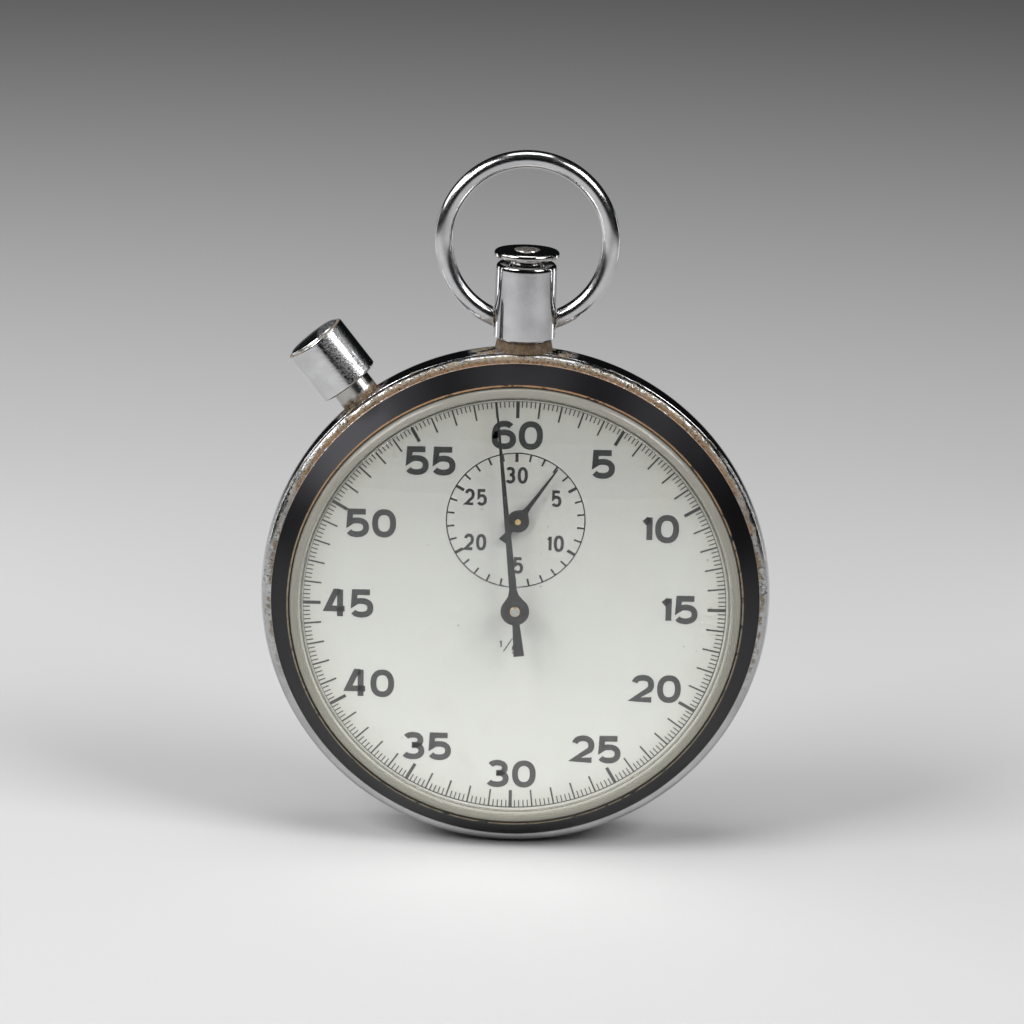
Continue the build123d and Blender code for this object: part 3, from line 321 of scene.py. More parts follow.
def digit_strokes(digit):
    """Centre lines of a wide plain numeral in a box one unit wide and one unit high."""
    if digit == "0":
        return [(oval(0.5, 0.5, 0.5, 0.5, 0, 360 - 360 / 28, steps=27), True)]
    if digit == "1":
        return [([(1.0, 0.0), (1.0, 1.0)], False), ([(1.0, 0.94), (-0.1, 0.74)], False)]
    if digit == "2":
        top = oval(0.5, 0.68, 0.47, 0.32, 165, -40)
        return [(top + [(0.03, 0.02), (1.0, 0.0)], False)]
    if digit == "3":
        upper = oval(0.48, 0.76, 0.42, 0.24, 152, -80)
        lower = oval(0.46, 0.27, 0.5, 0.27, 80, -150)
        return [(upper + [(0.42, 0.53)], False), ([(0.42, 0.53)] + lower, False)]
    if digit == "4":
        frame_line = [(0.76, 0.24), (0.05, 0.24), (0.5, 1.0), (0.76, 1.0)]
        return [(frame_line, False), ([(0.76, 1.1), (0.76, -0.1)], False), ([(0.7, 0.24), (1.02, 0.24)], False)]
    if digit == "5":
        bowl = oval(0.47, 0.3, 0.51, 0.31, 118, -148)
        return [([(0.95, 1.0), (0.1, 1.0), (0.06, 0.5)] + bowl, False)]
    if digit == "6":
        ring = oval(0.5, 0.31, 0.5, 0.31, 0, 360 - 360 / 28, steps=27)
        neck = oval(0.52, 0.5, 0.52, 0.5, 48, 180)
        return [(ring, True), (neck + [(0.0, 0.33)], False)]
    return []


def numeral(ink, text, place, height, width, stroke, gap):
    """Writes upright digits centred on a place. Width and height are those of one digit's outside."""
    widths = [width * (0.45 if c == "1" else 1.0) for c in text]
    total = sum(widths) + gap * (len(text) - 1)
    x = place[0] - total / 2
    for character, own_width in zip(text, widths):
        for path, closed in digit_strokes(character):
            inside = [
                (x + stroke / 2 + px * (own_width - stroke),
                 place[1] - height / 2 + stroke / 2 + py * (height - stroke))
                for px, py in path
            ]
            ink.stroke(inside, stroke, closed)
        x += own_width + gap


# ---------------------------------------------------------------- node materials
class Shader:
    """Short way to write a node material. Sockets and plain values can both be passed in."""

    def __init__(self, name):
        self.material = bpy.data.materials.new(name)
        self.material.use_nodes = True
        self.nodes = self.material.node_tree.nodes
        self.links = self.material.node_tree.links
        self.nodes.clear()
        coordinates = self.nodes.new("ShaderNodeTexCoord").outputs["Object"]
        self.position = self.vector("SCALE", coordinates, scale=1 / MM)
        parts = self.nodes.new("ShaderNodeSeparateXYZ")
        self.links.new(self.position, parts.inputs[0])
        self.x, self.y, self.z = parts.outputs
        self.bumps = None

    def put(self, socket, value):
        """Sets an input to a value or joins it to a socket."""
        if isinstance(value, bpy.types.NodeSocket):
            self.links.new(value, socket)
        elif isinstance(value, (tuple, list)) and len(value) == 3 and socket.type == "RGBA":
            socket.default_value = (*value, 1.0)
        else:
            socket.default_value = value

    def math(self, operation, a, b=0.0, clamp=False):
        node = self.nodes.new("ShaderNodeMath")
        node.operation = operation
        node.use_clamp = clamp
        self.put(node.inputs[0], a)
        self.put(node.inputs[1], b)
        return node.outputs[0]

    def vector(self, operation, a, b=(0.0, 0.0, 0.0), scale=1.0):
        node = self.nodes.new("ShaderNodeVectorMath")
        node.operation = operation
        self.put(node.inputs[0], a)
        if operation == "SCALE":
            node.inputs["Scale"].default_value = scale
        elif operation != "LENGTH":
            self.put(node.inputs[1], b)
        return node.outputs["Value"] if operation in ("LENGTH", "DOT_PRODUCT", "DISTANCE") else node.outputs[0]

    def stretch(self, scale, turn=(0.0, 0.0, 0.0)):
        """Position in millimetres, turned and scaled per axis."""
        node = self.nodes.new("ShaderNodeMapping")
        self.links.new(self.position, node.inputs["Vector"])
        node.inputs["Rotation"].default_value = turn
        node.inputs["Scale"].default_value = scale
        return node.outputs[0]

    def noise(self, scale, detail=4.0, rough=0.55, where=None, distort=0.0):
        """Cloudy noise from 0 to 1. Scale is in features per millimetre."""
        node = self.nodes.new("ShaderNodeTexNoise")
        self.links.new(where or self.position, node.inputs["Vector"])
        node.inputs["Scale"].default_value = scale
        node.inputs["Detail"].default_value = detail
        node.inputs["Roughness"].default_value = rough
        node.inputs["Distortion"].default_value = distort
        return node.outputs["Fac"]

    def cells(self, scale, where=None, feature="F1"):
        node = self.nodes.new("ShaderNodeTexVoronoi")
        node.feature = feature
        self.links.new(where or self.position, node.inputs["Vector"])
        node.inputs["Scale"].default_value = scale
        return node.outputs["Distance"]

    def step(self, value, low, high):
        """0 below low, 1 above high, smooth between. Swapped limits turn it round."""
        node = self.nodes.new("ShaderNodeMapRange")
        node.interpolation_type = "SMOOTHSTEP"
        self.put(node.inputs["Value"], value)
        node.inputs["From Min"].default_value = min(low, high)
        node.inputs["From Max"].default_value = max(low, high)
        node.inputs["To Min"].default_value = 0.0 if low < high else 1.0
        node.inputs["To Max"].default_value = 1.0 if low < high else 0.0
        return node.outputs[0]

    def mix(self, part, a, b):
        """Colour from a to b."""
        node = self.nodes.new("ShaderNodeMix")
        node.data_type = "RGBA"
        self.put(node.inputs["Factor"], part)
        self.put(node.inputs[6], a)
        self.put(node.inputs[7], b)
        return node.outputs[2]

    def blend(self, part, a, b):
        """Number from a to b."""
        node = self.nodes.new("ShaderNodeMix")
        node.data_type = "FLOAT"
        self.put(node.inputs["Factor"], part)
        self.put(node.inputs[2], a)
        self.put(node.inputs[3], b)
        return node.outputs[0]

    def radius_about(self, x, z):
        """Distance from an axis square to the dial, in millimetres."""
        flat = self.vector("MULTIPLY", self.position, (1.0, 0.0, 1.0))
        return self.vector("DISTANCE", flat, (x, 0.0, z))

    def scratches(self, strength=0.5, density=0.62):
        """Fine straight scratches in three directions."""
        total = None
        for turn in ((0.3, 0.2, 0.4), (1.1, 0.5, 2.0), (2.2, 1.3, 0.9)):
            lines = self.noise(1.0, 2.0, 0.5, self.stretch((0.35, 14.0, 14.0), turn))
            thin = self.step(lines, density, density + 0.03)
            total = thin if total is None else self.math("MAXIMUM", total, thin)
        return self.math("MULTIPLY", total, strength)

    def bump(self, height, distance, strength=1.0):
        """Adds a relief on top of those already there. Distance is in millimetres."""
        node = self.nodes.new("ShaderNodeBump")
        self.put(node.inputs["Height"], height)
        node.inputs["Distance"].default_value = distance * MM
        node.inputs["Strength"].default_value = strength
        if self.bumps is not None:
            self.links.new(self.bumps, node.inputs["Normal"])
        self.bumps = node.outputs[0]

    def finish(self, **inputs):
        """Ends in a Principled shader and gives the material."""
        shader = self.nodes.new("ShaderNodeBsdfPrincipled")
        output = self.nodes.new("ShaderNodeOutputMaterial")
        for name, value in inputs.items():
            self.put(shader.inputs[name.replace("_", " ")], value)
        if self.bumps is not None:
            self.links.new(self.bumps, shader.inputs["Normal"])
        self.links.new(shader.outputs[0], output.inputs["Surface"])
        self.shader = shader
        self.output = output
        return self.material


BRASS = (0.30, 0.21, 0.10)
BARE_BROWN = (0.13, 0.075, 0.035)
DIRT = (0.010, 0.009, 0.007)
RUST = (0.27, 0.13, 0.045)
OLD_GREY = (0.25, 0.22, 0.165)
COLLAR_BROWN = (0.075, 0.045, 0.024)
SLOPE_SHADE = (0.030, 0.030, 0.033)


def plated(name, base, worn, rough=0.07, grime=0.5, scratch=0.5, pits=0.002):
    """Old chrome on brass. worn(shader) gives a 0 to 1 socket for where the plating has gone."""
    s = Shader(name)
    clouds = s.noise(0.35, 5.0, 0.6)
    fine = s.noise(5.0, 6.0, 0.7)
    lines = s.scratches(scratch)
    gone = worn(s)
    bare = s.mix(s.step(s.noise(1.1, 6.0, 0.75), 0.42, 0.58), BARE_BROWN, BRASS)
    bare = s.mix(s.step(s.noise(2.2, 6.0, 0.8), 0.50, 0.58), bare, (0.30, 0.275, 0.23))
    bare = s.mix(s.step(fine, 0.54, 0.62), bare, (0.028, 0.020, 0.014))
    smooth = s.blend(clouds, rough, rough + 0.06)
    metal = s.mix(s.step(clouds, 0.3, 0.75), base, [c * 0.8 for c in base])
    pitted = 0.0
    if name == "bezel_chrome":
        height = s.math("MULTIPLY", s.y, -1.0)
        inner = ragged(s, height, SEAM + 0.78, SEAM + 0.88, 0.3, 1.8)
        inner = s.math("MULTIPLY", inner, s.step(s.z, 0.0, 18.0))
        bare = s.mix(s.math("MULTIPLY", inner, 0.7), s.mix(0.55, bare, OLD_GREY), RUST)
        pitted = s.step(s.noise(3.4, 7.0, 0.85), 0.52, 0.57)
        pitted = s.math("MULTIPLY", pitted, s.step(height, SEAM + 0.95, SEAM + 0.90))
        pitted = s.math("MULTIPLY", pitted, s.step(s.noise(0.4, 4.0), 0.40, 0.55))
        pitted = s.math("MULTIPLY", pitted, s.step(s.z, -10.0, 4.0))
        # Painted shade: the slope near twelve o'clock is painted darker, a dim reflection put into its colour.
        painted_dark_top = s.math("MULTIPLY", s.step(s.math("ABSOLUTE", s.x), 15.0, 5.0), s.step(s.z, 8.0, 20.0))
        slope = s.step(s.math("MULTIPLY", s.y, -1.0), SEAM + 0.93, SEAM + 0.97)
        metal = s.mix(slope, metal, s.mix(painted_dark_top, SLOPE_SHADE, (0.014, 0.014, 0.015)))
        smooth = s.blend(slope, smooth, s.blend(clouds, 0.30, 0.40))
        fine = s.math("MULTIPLY", fine, s.math("SUBTRACT", 1.0, s.math("MULTIPLY", slope, 0.7)))
    if name == "pendant_chrome":
        bare = s.mix(0.65, bare, COLLAR_BROWN)
    if name == "pusher_chrome":
        across = s.vector("DOT_PRODUCT", s.position, (pusher_axis.z, 0.0, -pusher_axis.x))
        right_side = s.math("MULTIPLY", s.step(across, 0.5, 1.3), s.step(across, 3.1, 2.5))
        scuffs = s.step(s.noise(4.2, 8.0, 0.85), 0.46, 0.52)
        pitted = s.math("MULTIPLY", s.math("MULTIPLY", scuffs, right_side), 0.6)
    colour = s.mix(gone, metal, bare)
    specks = s.step(s.cells(1.9), 0.11, 0.05)
    specks = s.math("MULTIPLY", specks, s.step(s.noise(0.5, 3.0), 0.5, 0.62))
    film = s.math("MULTIPLY", s.step(fine, 0.64, 0.76), s.step(clouds, 0.46, 0.66))
    dirt = s.math("MULTIPLY", s.math("MAXIMUM", specks, film), grime)
    dirt = s.math("MAXIMUM", dirt, pitted)
    if name == "bezel_chrome":
        gap = s.step(s.radius_about(0.0, 0.0), CRYSTAL_RADIUS + 0.13, CRYSTAL_RADIUS + 0.08)
        dirt = s.math("MAXIMUM", dirt, gap)
    colour = s.mix(dirt, colour, DIRT)
    roughness = s.blend(gone, smooth, 0.62)
    roughness = s.math("ADD", roughness, s.math("MULTIPLY", lines, 0.16))
    roughness = s.math("ADD", roughness, s.math("MULTIPLY", dirt, 0.4), clamp=True)
    s.bump(s.math("MULTIPLY", gone, s.noise(4.0, 5.0, 0.7)), 0.12, 0.8)
    s.bump(s.math("SUBTRACT", 1.0, gone), 0.03, 0.9)
    s.bump(lines, 0.003, 0.4)
    s.bump(fine, pits, 0.3)
    metallic = s.math("SUBTRACT", 1.0, s.math("MULTIPLY", s.math("MAXIMUM", dirt, gone), 0.75))
    return s.finish(Base_Color=colour, Metallic=metallic, Roughness=roughness)


def ragged(s, value, low, high, amount=0.5, scale=2.2):
    """A step whose edge is broken up by noise."""
    shift = s.math("MULTIPLY", s.math("SUBTRACT", s.noise(scale, 6.0, 0.7), 0.5), amount)
    return s.step(s.math("ADD", value, shift), low, high)


def upper_part(s):
    """1 near twelve o'clock, falling to 0 just above the middle."""
    return s.step(s.z, 2.0, 20.0)


def bezel_wear(s):
    """Bare metal on the inner half of the shoulder, strongest at the top, and a thin line on the lip."""
    radius = s.radius_about(0.0, 0.0)
    height = s.math("MULTIPLY", s.y, -1.0)
    shoulder = ragged(s, height, SEAM + 0.99, SEAM + 0.91, 0.10, 1.6)
    low_limit = s.blend(upper_part(s), SEAM + 0.84, SEAM + 0.62)
    drift = s.math("MULTIPLY", s.math("SUBTRACT", s.noise(1.3, 8.0, 0.85), 0.5), 1.5)
    above = s.math("SUBTRACT", s.math("ADD", height, drift), low_limit)
    shoulder = s.math("MULTIPLY", shoulder, s.step(above, -0.02, 0.05))
    patches = s.step(s.noise(0.3, 5.0, 0.65), 0.42, 0.50)
    patches = s.math("MAXIMUM", patches, upper_part(s))
    patches = s.math("MULTIPLY", patches, s.step(s.z, -12.0, -2.0))
    islands = s.step(s.noise(2.1, 8.0, 0.85), 0.40, 0.47)
    shoulder = s.math("MULTIPLY", s.math("MULTIPLY", shoulder, patches), islands)
    lip = ragged(s, radius, CRYSTAL_RADIUS + 0.31, CRYSTAL_RADIUS + 0.24, 0.12, 2.2)
    lip = s.math("MULTIPLY", lip, s.step(s.noise(0.7, 5.0, 0.7), 0.36, 0.48))
    return s.math("MAXIMUM", shoulder, lip, clamp=True)


def band_wear(s):
    """Worn spots along the band's front seam and around the two tubes."""
    height = s.math("MULTIPLY", s.y, -1.0)
    seam = ragged(s, height, SEAM - 0.30, SEAM - 0.1, 0.5, 1.2)
    seam = s.math("MULTIPLY", seam, s.step(s.noise(0.5, 4.0), 0.52, 0.64))
    top = pusher_axis * 26.2
    spots = None
    for x, z, size in ((0.0, 26.2, 6.0), (top.x, top.z, 3.8)):
        near = s.step(s.vector("DISTANCE", s.position, (x, -STEM_HEIGHT, z)), size, size - 1.4)
        near = s.math("MULTIPLY", near, s.step(s.noise(1.2, 6.0, 0.7), 0.44, 0.54))
        spots = near if spots is None else s.math("MAXIMUM", spots, near)
    return s.math("MAXIMUM", seam, spots, clamp=True)


def pendant_wear(s):
    """Brown grime where the bow enters and around the collar at the case."""
    holes = None
    for side in (-1, 1):
        spot = (side * PENDANT_RADIUS, -STEM_HEIGHT, BOW_PIVOT)
        near = ragged(s, s.vector("DISTANCE", s.position, spot), 1.35, 1.0, 0.9, 2.0)
        holes = near if holes is None else s.math("MAXIMUM", holes, near)
    collar = ragged(s, s.z, NECK_TOP + 0.06, NECK_TOP - 0.06, 0.2, 3.0)
    return s.math("MAXIMUM", holes, collar, clamp=True)


def bow_wear(s):
    """Bare and dirty only near the pivots."""
    return s.math("MULTIPLY", ragged(s, s.z, BOW_PIVOT + 0.5, BOW_PIVOT - 0.2, 1.2, 2.4), 0.5)


def crown_wear(s):
    """The raised button is partly rubbed to brass, and the low rim in spots."""
    away = s.vector("DISTANCE", s.vector("MULTIPLY", s.position, (1.0, 1.0, 0.0)), (0.0, -STEM_HEIGHT, 0.0))
    top = s.step(s.z, CROWN_TOP - 0.10, CROWN_TOP - 0.05)
    boss = s.math("MULTIPLY", ragged(s, away, 1.42, 1.28, 0.3, 3.0), top)
    boss = s.math("MULTIPLY", boss, s.blend(s.step(s.noise(2.4, 5.0, 0.7), 0.46, 0.58), 0.2, 0.6))
    low_side = s.step(s.z, CROWN_TOP - 0.62, CROWN_TOP - 0.68)
    rim = s.math("MULTIPLY", s.step(away, CROWN_RADIUS - 0.07, CROWN_RADIUS - 0.02), low_side)
    rim = s.math("MULTIPLY", rim, s.step(s.noise(1.5, 4.0), 0.48, 0.56))
    return s.math("MAXIMUM", boss, rim, clamp=True)


def pusher_wear(s):
    """Bright worn rim line at the outer end and grime at the inner one."""
    along = s.vector("DOT_PRODUCT", s.position, tuple(pusher_axis))
    line = s.step(s.math("ABSOLUTE", s.math("SUBTRACT", along, PUSHER_FAR - 0.40)), 0.07, 0.03)
    line = s.math("MULTIPLY", line, s.step(s.noise(1.2, 5.0), 0.36, 0.46))
    inner = ragged(s, along, PUSHER_NEAR + 0.10, PUSHER_NEAR + 0.04, 0.06, 2.0)
    return s.math("MAXIMUM", line, inner, clamp=True)


def tube_wear(s):
    """Brown grime where the side tube meets the case."""
    along = s.vector("DOT_PRODUCT", s.position, tuple(pusher_axis))
    return ragged(s, along, 27.3, 26.7, 1.1, 1.3)


def back_wear(s):
    """Rubbed high edge of the back, with small bare patches."""
    radius = s.radius_about(0.0, 0.0)
    near_edge = s.step(s.math("ABSOLUTE", s.math("SUBTRACT", radius, 22.5)), 1.6, 0.2)
    return s.math("MULTIPLY", near_edge, s.step(s.noise(0.7, 6.0, 0.7), 0.55, 0.62))


def no_wear(s):
    return s.step(s.noise(0.9, 5.0, 0.7), 0.74, 0.78)


def dial_paint():
    """Aged off-white paint, yellow at the rim, with faint stains and dark specks, and painted shade: darker at the
    top, lighter at the bottom.
    """
    s = Shader("dial_paint")
    radius = s.radius_about(0.0, 0.0)
    # Painted shade and light: the dial is darker towards twelve and lighter towards six, as if the lower part were
    # lit more.
    painted_light_fade = s.step(s.z, DIAL_RADIUS, -DIAL_RADIUS)
    colour = s.mix(painted_light_fade, (0.320, 0.325, 0.310), (0.600, 0.610, 0.588))
    colour = s.mix(s.math("MULTIPLY", s.step(radius, 18.0, 22.6), 0.25), colour, (0.40, 0.38, 0.30))
    stains = s.step(s.noise(0.12, 5.0, 0.6, distort=0.6), 0.52, 0.72)
    colour = s.mix(s.math("MULTIPLY", stains, 0.16), colour, (0.42, 0.40, 0.32))
    spots = s.math("MULTIPLY", s.step(s.cells(0.55), 0.10, 0.03), s.step(s.noise(0.3), 0.5, 0.6))
    colour = s.mix(s.math("MULTIPLY", spots, 0.55), colour, (0.16, 0.15, 0.10))
    grain = s.noise(18.0, 4.0, 0.7)
    colour = s.mix(s.math("MULTIPLY", s.step(grain, 0.60, 0.72), 0.18), colour, (0.30, 0.29, 0.25))
    s.bump(grain, 0.006, 0.35)
    s.bump(s.noise(0.8, 3.0), 0.03, 0.15)
    roughness = s.blend(s.noise(2.0), 0.42, 0.60)
    return s.finish(Base_Color=colour, Roughness=roughness)


def dial_ink():
    """Matte printing ink with tiny gaps; painted light makes it greyer towards six o'clock."""
    s = Shader("dial_ink")
    # Painted light: the ink is lighter towards six, as if lit more there.
    painted_light_fade = s.step(s.z, 2.0, -20.0)
    colour = s.mix(painted_light_fade, (0.016, 0.018, 0.018), (0.05, 0.05, 0.05))
    gaps = s.step(s.noise(7.5, 5.0, 0.75), 0.60, 0.72)
    colour = s.mix(s.math("MULTIPLY", gaps, 0.6), colour, (0.30, 0.30, 0.28))
    s.bump(gaps, 0.01, 0.4)
    return s.finish(Base_Color=colour, Roughness=0.6)


def hand_paint():
    """Blackened steel, rubbed grey in places and faintly mottled."""
    s = Shader("hand_black")
    mottle = s.noise(3.5, 6.0, 0.75)
    colour = s.mix(s.step(mottle, 0.45, 0.7), (0.010, 0.011, 0.012), (0.040, 0.040, 0.042))
    rubbed = s.step(s.noise(9.0, 4.0, 0.7), 0.62, 0.7)
    colour = s.mix(s.math("MULTIPLY", rubbed, 0.4), colour, (0.22, 0.21, 0.20))
    s.bump(mottle, 0.01, 0.5)
    return s.finish(Base_Color=colour, Metallic=0.35, Roughness=s.blend(mottle, 0.32, 0.6))


def crystal_clear():
    """Clear acrylic with hairline scratches and a slightly milky, yellowed standing edge."""
    s = Shader("crystal_acrylic")
    radius = s.radius_about(0.0, 0.0)
    edge = s.step(radius, CRYSTAL_RADIUS - 1.15, CRYSTAL_RADIUS - 0.7)
    clear_part = s.step(radius, CRYSTAL_RADIUS - 1.7, CRYSTAL_RADIUS - 2.8)
    lines = s.math("MULTIPLY", s.scratches(0.6, 0.66), clear_part)
    s.bump(lines, 0.003, 0.35)
    s.bump(s.noise(0.25, 2.0), 0.05, 0.10)
    tint = s.mix(edge, (0.985, 0.985, 0.975), (0.80, 0.79, 0.73))
    roughness = s.math("ADD", s.math("MULTIPLY", lines, 0.05), s.math("MULTIPLY", edge, 0.10))
    material = s.finish(Base_Color=tint, Roughness=roughness, IOR=1.49, Transmission_Weight=1.0)
    milky = s.nodes.new("ShaderNodeBsdfDiffuse")
    milky.inputs["Color"].default_value = (0.33, 0.32, 0.28, 1.0)
    haze = s.nodes.new("ShaderNodeMixShader")
    s.put(haze.inputs[0], s.math("MULTIPLY", edge, 0.55))
    s.links.new(s.shader.outputs[0], haze.inputs[1])
    s.links.new(milky.outputs[0], haze.inputs[2])
    clear = s.nodes.new("ShaderNodeBsdfTransparent")
    clear.inputs["Color"].default_value = (0.96, 0.96, 0.95, 1.0)
    light_path = s.nodes.new("ShaderNodeLightPath")
    soft_shadow = s.nodes.new("ShaderNodeMixShader")
    s.links.new(light_path.outputs["Is Shadow Ray"], soft_shadow.inputs[0])
    s.links.new(haze.outputs[0], soft_shadow.inputs[1])
    s.links.new(clear.outputs[0], soft_shadow.inputs[2])
    s.links.new(soft_shadow.outputs[0], s.output.inputs["Surface"])
    return material


def steel(name, base, rough, grain=(0.5, 30.0, 30.0), tarnish=(0.10, 0.09, 0.08)):
    """Grained or polished steel with light tarnish."""
    s = Shader(name)
    lines = s.noise(1.0, 3.0, 0.6, s.stretch(grain, (0.4, 0.2, 0.1)))
    clouds = s.noise(0.8, 5.0, 0.6)
    colour = s.mix(s.math("MULTIPLY", s.step(clouds, 0.5, 0.75), 0.4), base, tarnish)
    colour = s.mix(s.math("MULTIPLY", lines, 0.25), colour, [c * 0.7 for c in base])
    s.bump(lines, 0.003, 0.5)
    roughness = s.blend(lines, rough, rough + 0.18)
    return s.finish(Base_Color=colour, Metallic=1.0, Roughness=roughness)


def ruby():
    """Polished synthetic ruby with faint inner clouds."""
    s = Shader("ruby")
    clouds = s.noise(2.0, 4.0)
    colour = s.mix(clouds, (0.42, 0.01, 0.05), (0.75, 0.05, 0.14))
    s.bump(s.noise(6.0), 0.002, 0.3)
    return s.finish(
        Base_Color=colour, Roughness=s.blend(clouds, 0.04, 0.12), IOR=1.76, Transmission_Weight=0.6,
    )


materials = {
    "case_chrome": plated("band_chrome", (0.52, 0.52, 0.53), band_wear, 0.07, 0.6),
    "bezel_chrome": plated("bezel_chrome", (0.50, 0.50, 0.50), bezel_wear, 0.10, 0.3, 0.35, 0.0015),
    "back_chrome": plated("back_chrome", (0.55, 0.55, 0.55), back_wear, 0.12, 0.5, 0.9),
    "pendant_chrome": plated("pendant_chrome", (0.55, 0.55, 0.56), pendant_wear, 0.04, 0.5),
    "bow_chrome": plated("bow_chrome", (0.60, 0.60, 0.61), bow_wear, 0.12, 0.4),
    "crown_chrome": plated("crown_chrome", (0.55, 0.54, 0.52), crown_wear, 0.05, 0.5),
    "pusher_chrome": plated("pusher_chrome", (0.66, 0.66, 0.67), pusher_wear, 0.045, 0.7, 0.9),
    "worn_brass": plated("tube_metal", (0.45, 0.44, 0.42), tube_wear, 0.16, 0.8),
    "crystal": crystal_clear(),
    "dial_paint": dial_paint(),
    "dark_hands": hand_paint(),
    "ruby": ruby(),
    "blued_steel": steel("blued_steel", (0.04, 0.07, 0.25), 0.16),
    "spring_steel": steel("spring_steel", (0.30, 0.31, 0.33), 0.22),
    "polished_steel": steel("polished_steel", (0.55, 0.55, 0.56), 0.12),
    "gilt_brass": steel("gilt_brass", (0.72, 0.52, 0.22), 0.18, (0.5, 18.0, 18.0), (0.30, 0.18, 0.07)),
    "plate_nickel": steel("plate_nickel", (0.62, 0.60, 0.55), 0.22, (0.3, 9.0, 9.0), (0.25, 0.22, 0.15)),
}
ink_material = dial_ink()


def dress(piece, slot):
    """Gives a piece the material of one of the record's slots."""
    piece.data.materials.clear()
    piece.data.materials.append(materials[slot])


for part in frame["record"]["subparts"]:
    node = frame["nodes"][part["node"]]
    if node.data.materials:
        for index in range(len(node.material_slots)):
            node.material_slots[index].material = materials[part["material_slot"]]
    else:
        node.data.materials.append(materials[part["material_slot"]])


def stand_for(piece, node, body, slot):
    """The piece is shown in place of a CAD node, with its body and slot."""
    dress(piece, slot)
    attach(piece, body)
    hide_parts(node)


# ================================================================ case
def case_band():
    """Rounded middle band of the case."""
    outer = arc_through((24.62, BACK_EDGE), (CASE_RADIUS, 5.8), (BEZEL_FOOT_RADIUS, SEAM - 0.05), 30)
    inner = [(24.2, SEAM - 0.05), (24.2, 9.4), (23.0, 9.4), (23.0, 8.4), (23.5, 8.4), (23.5, 3.2)]
    return front_lathe("case_band", soften(outer + inner + [(23.3, 3.2), (23.3, BACK_EDGE)], 0.14))


def bezel_ring():
    """Bezel: rounded shoulder, a fine step, the dark slope and a rolled lip over the crystal."""
    shoulder = arc_through((BEZEL_FOOT_RADIUS - 0.01, SEAM), (26.02, 8.88), (25.44, 9.12), 12)
    slope = [(25.37, 9.14), (25.32, 9.19), (23.62, BEZEL_FRONT - 0.16), (23.52, BEZEL_FRONT - 0.03)]
    lip = [(23.42, BEZEL_FRONT), (CRYSTAL_RADIUS + 0.02, BEZEL_FRONT - 0.03), (CRYSTAL_RADIUS + 0.01, 9.5)]
    return front_lathe("bezel_ring", soften(shoulder + slope + lip + [(24.2, 9.5), (24.2, SEAM)], 0.07))


def crystal_dome():
    """Domed crystal with a well rounded standing edge."""
    wall = 1.15
    rim = CRYSTAL_RADIUS - 0.01
    outside = arc_through((0, CRYSTAL_TOP), (12.0, CRYSTAL_TOP - 0.70), (22.3, CRYSTAL_TOP - 2.45), 40)
    corner = arc_through((22.45, CRYSTAL_TOP - 2.49), (23.02, CRYSTAL_TOP - 2.74), (rim, CRYSTAL_TOP - 3.2), 10)
    foot = [(rim, DIAL_FACE + 0.03), (rim - wall, DIAL_FACE + 0.03)]
    inner_corner = arc_through((rim - wall, 11.0), (rim - wall - 0.13, 11.36), (rim - wall - 0.5, 11.52), 6)
    inside = arc_through((rim - wall - 0.65, 11.55), (11.0, 12.84), (0, CRYSTAL_TOP - 1.1), 40)
    return front_lathe("crystal_dome", outside + corner + foot + inner_corner + inside)


def back_cover():
    """Pressed-in back: flat middle and a rounded edge."""
    edge = arc_through((20.5, 0.0), (23.1, 0.75), (24.6, BACK_EDGE - 0.05), 16)
    inside = [(23.3, BACK_EDGE - 0.05), (23.3, 3.1), (22.6, 3.1), (22.6, 2.0), (20.5, 0.8), (0.0, 0.8)]
    return front_lathe("back_cover", soften([(0.0, 0.0)] + edge + inside, 0.1, closed=False))


def return_spring():
    """The crown's return spring, which keeps its foot in place."""
    piece = bpy.data.objects.new("return_spring", frame["nodes"]["crown_spring"].data.copy())
    bpy.context.scene.collection.objects.link(piece)
    stand_for(piece, "crown_spring", "watch", "spring_steel")
    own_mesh(piece)


return_spring()
stand_for(case_band(), "case_middle", "watch", "case_chrome")
stand_for(bezel_ring(), "bezel", "watch", "bezel_chrome")
stand_for(crystal_dome(), "crystal", "watch", "crystal")
stand_for(back_cover(), "case_back", "watch", "back_chrome")


# ================================================================ pendant, crown, bow and pusher
def pendant():
    """Tall tube on a short collar, with a chamfered top."""
    r = PENDANT_RADIUS
    foot = NECK_TOP
    outline = [
        (2.1, 24.2), (2.1, 26.1), (3.0, 26.15), (2.75, foot), (r - 0.14, foot), (r, foot + 0.15),
        (r - 0.02, 29.5), (r - 0.04, 34.6),
        (r - 0.12, 34.95), (r - 0.35, PENDANT_TOP), (1.96, PENDANT_TOP), (1.96, 30.6), (0.54, 30.6), (0.54, 24.2),
    ]
    return lathe("pendant", soften(outline, 0.08), (0, -STEM_HEIGHT, 0), (0, 0, 1), 160)


def crown_cap():
    """Crown: thick disc with a rounded edge and a raised middle button."""
    top = CROWN_TOP
    rim = CROWN_RADIUS
    face = [(1.6, top - 0.13), (2.2, top - 0.135), (2.8, top - 0.145)]
    edge = arc_through((2.9, top - 0.15), (rim - 0.09, top - 0.24), (rim, top - 0.46), 10)
    outline = [(0.0, top), (1.15, top - 0.01), (1.33, top - 0.05), (1.36, top - 0.12)]
    outline += face + edge + [(rim, top - 0.70), (rim - 0.07, top - 0.79)]
    outline += [(1.9, top - 0.80), (1.9, crown_low.z), (1.25, crown_low.z)]
    outline += [(1.25, top - 0.9), (0.0, top - 0.9)]
    return lathe("crown_cap", soften(outline, 0.04, closed=False), (0, -STEM_HEIGHT, 0), (0, 0, 1), 160)


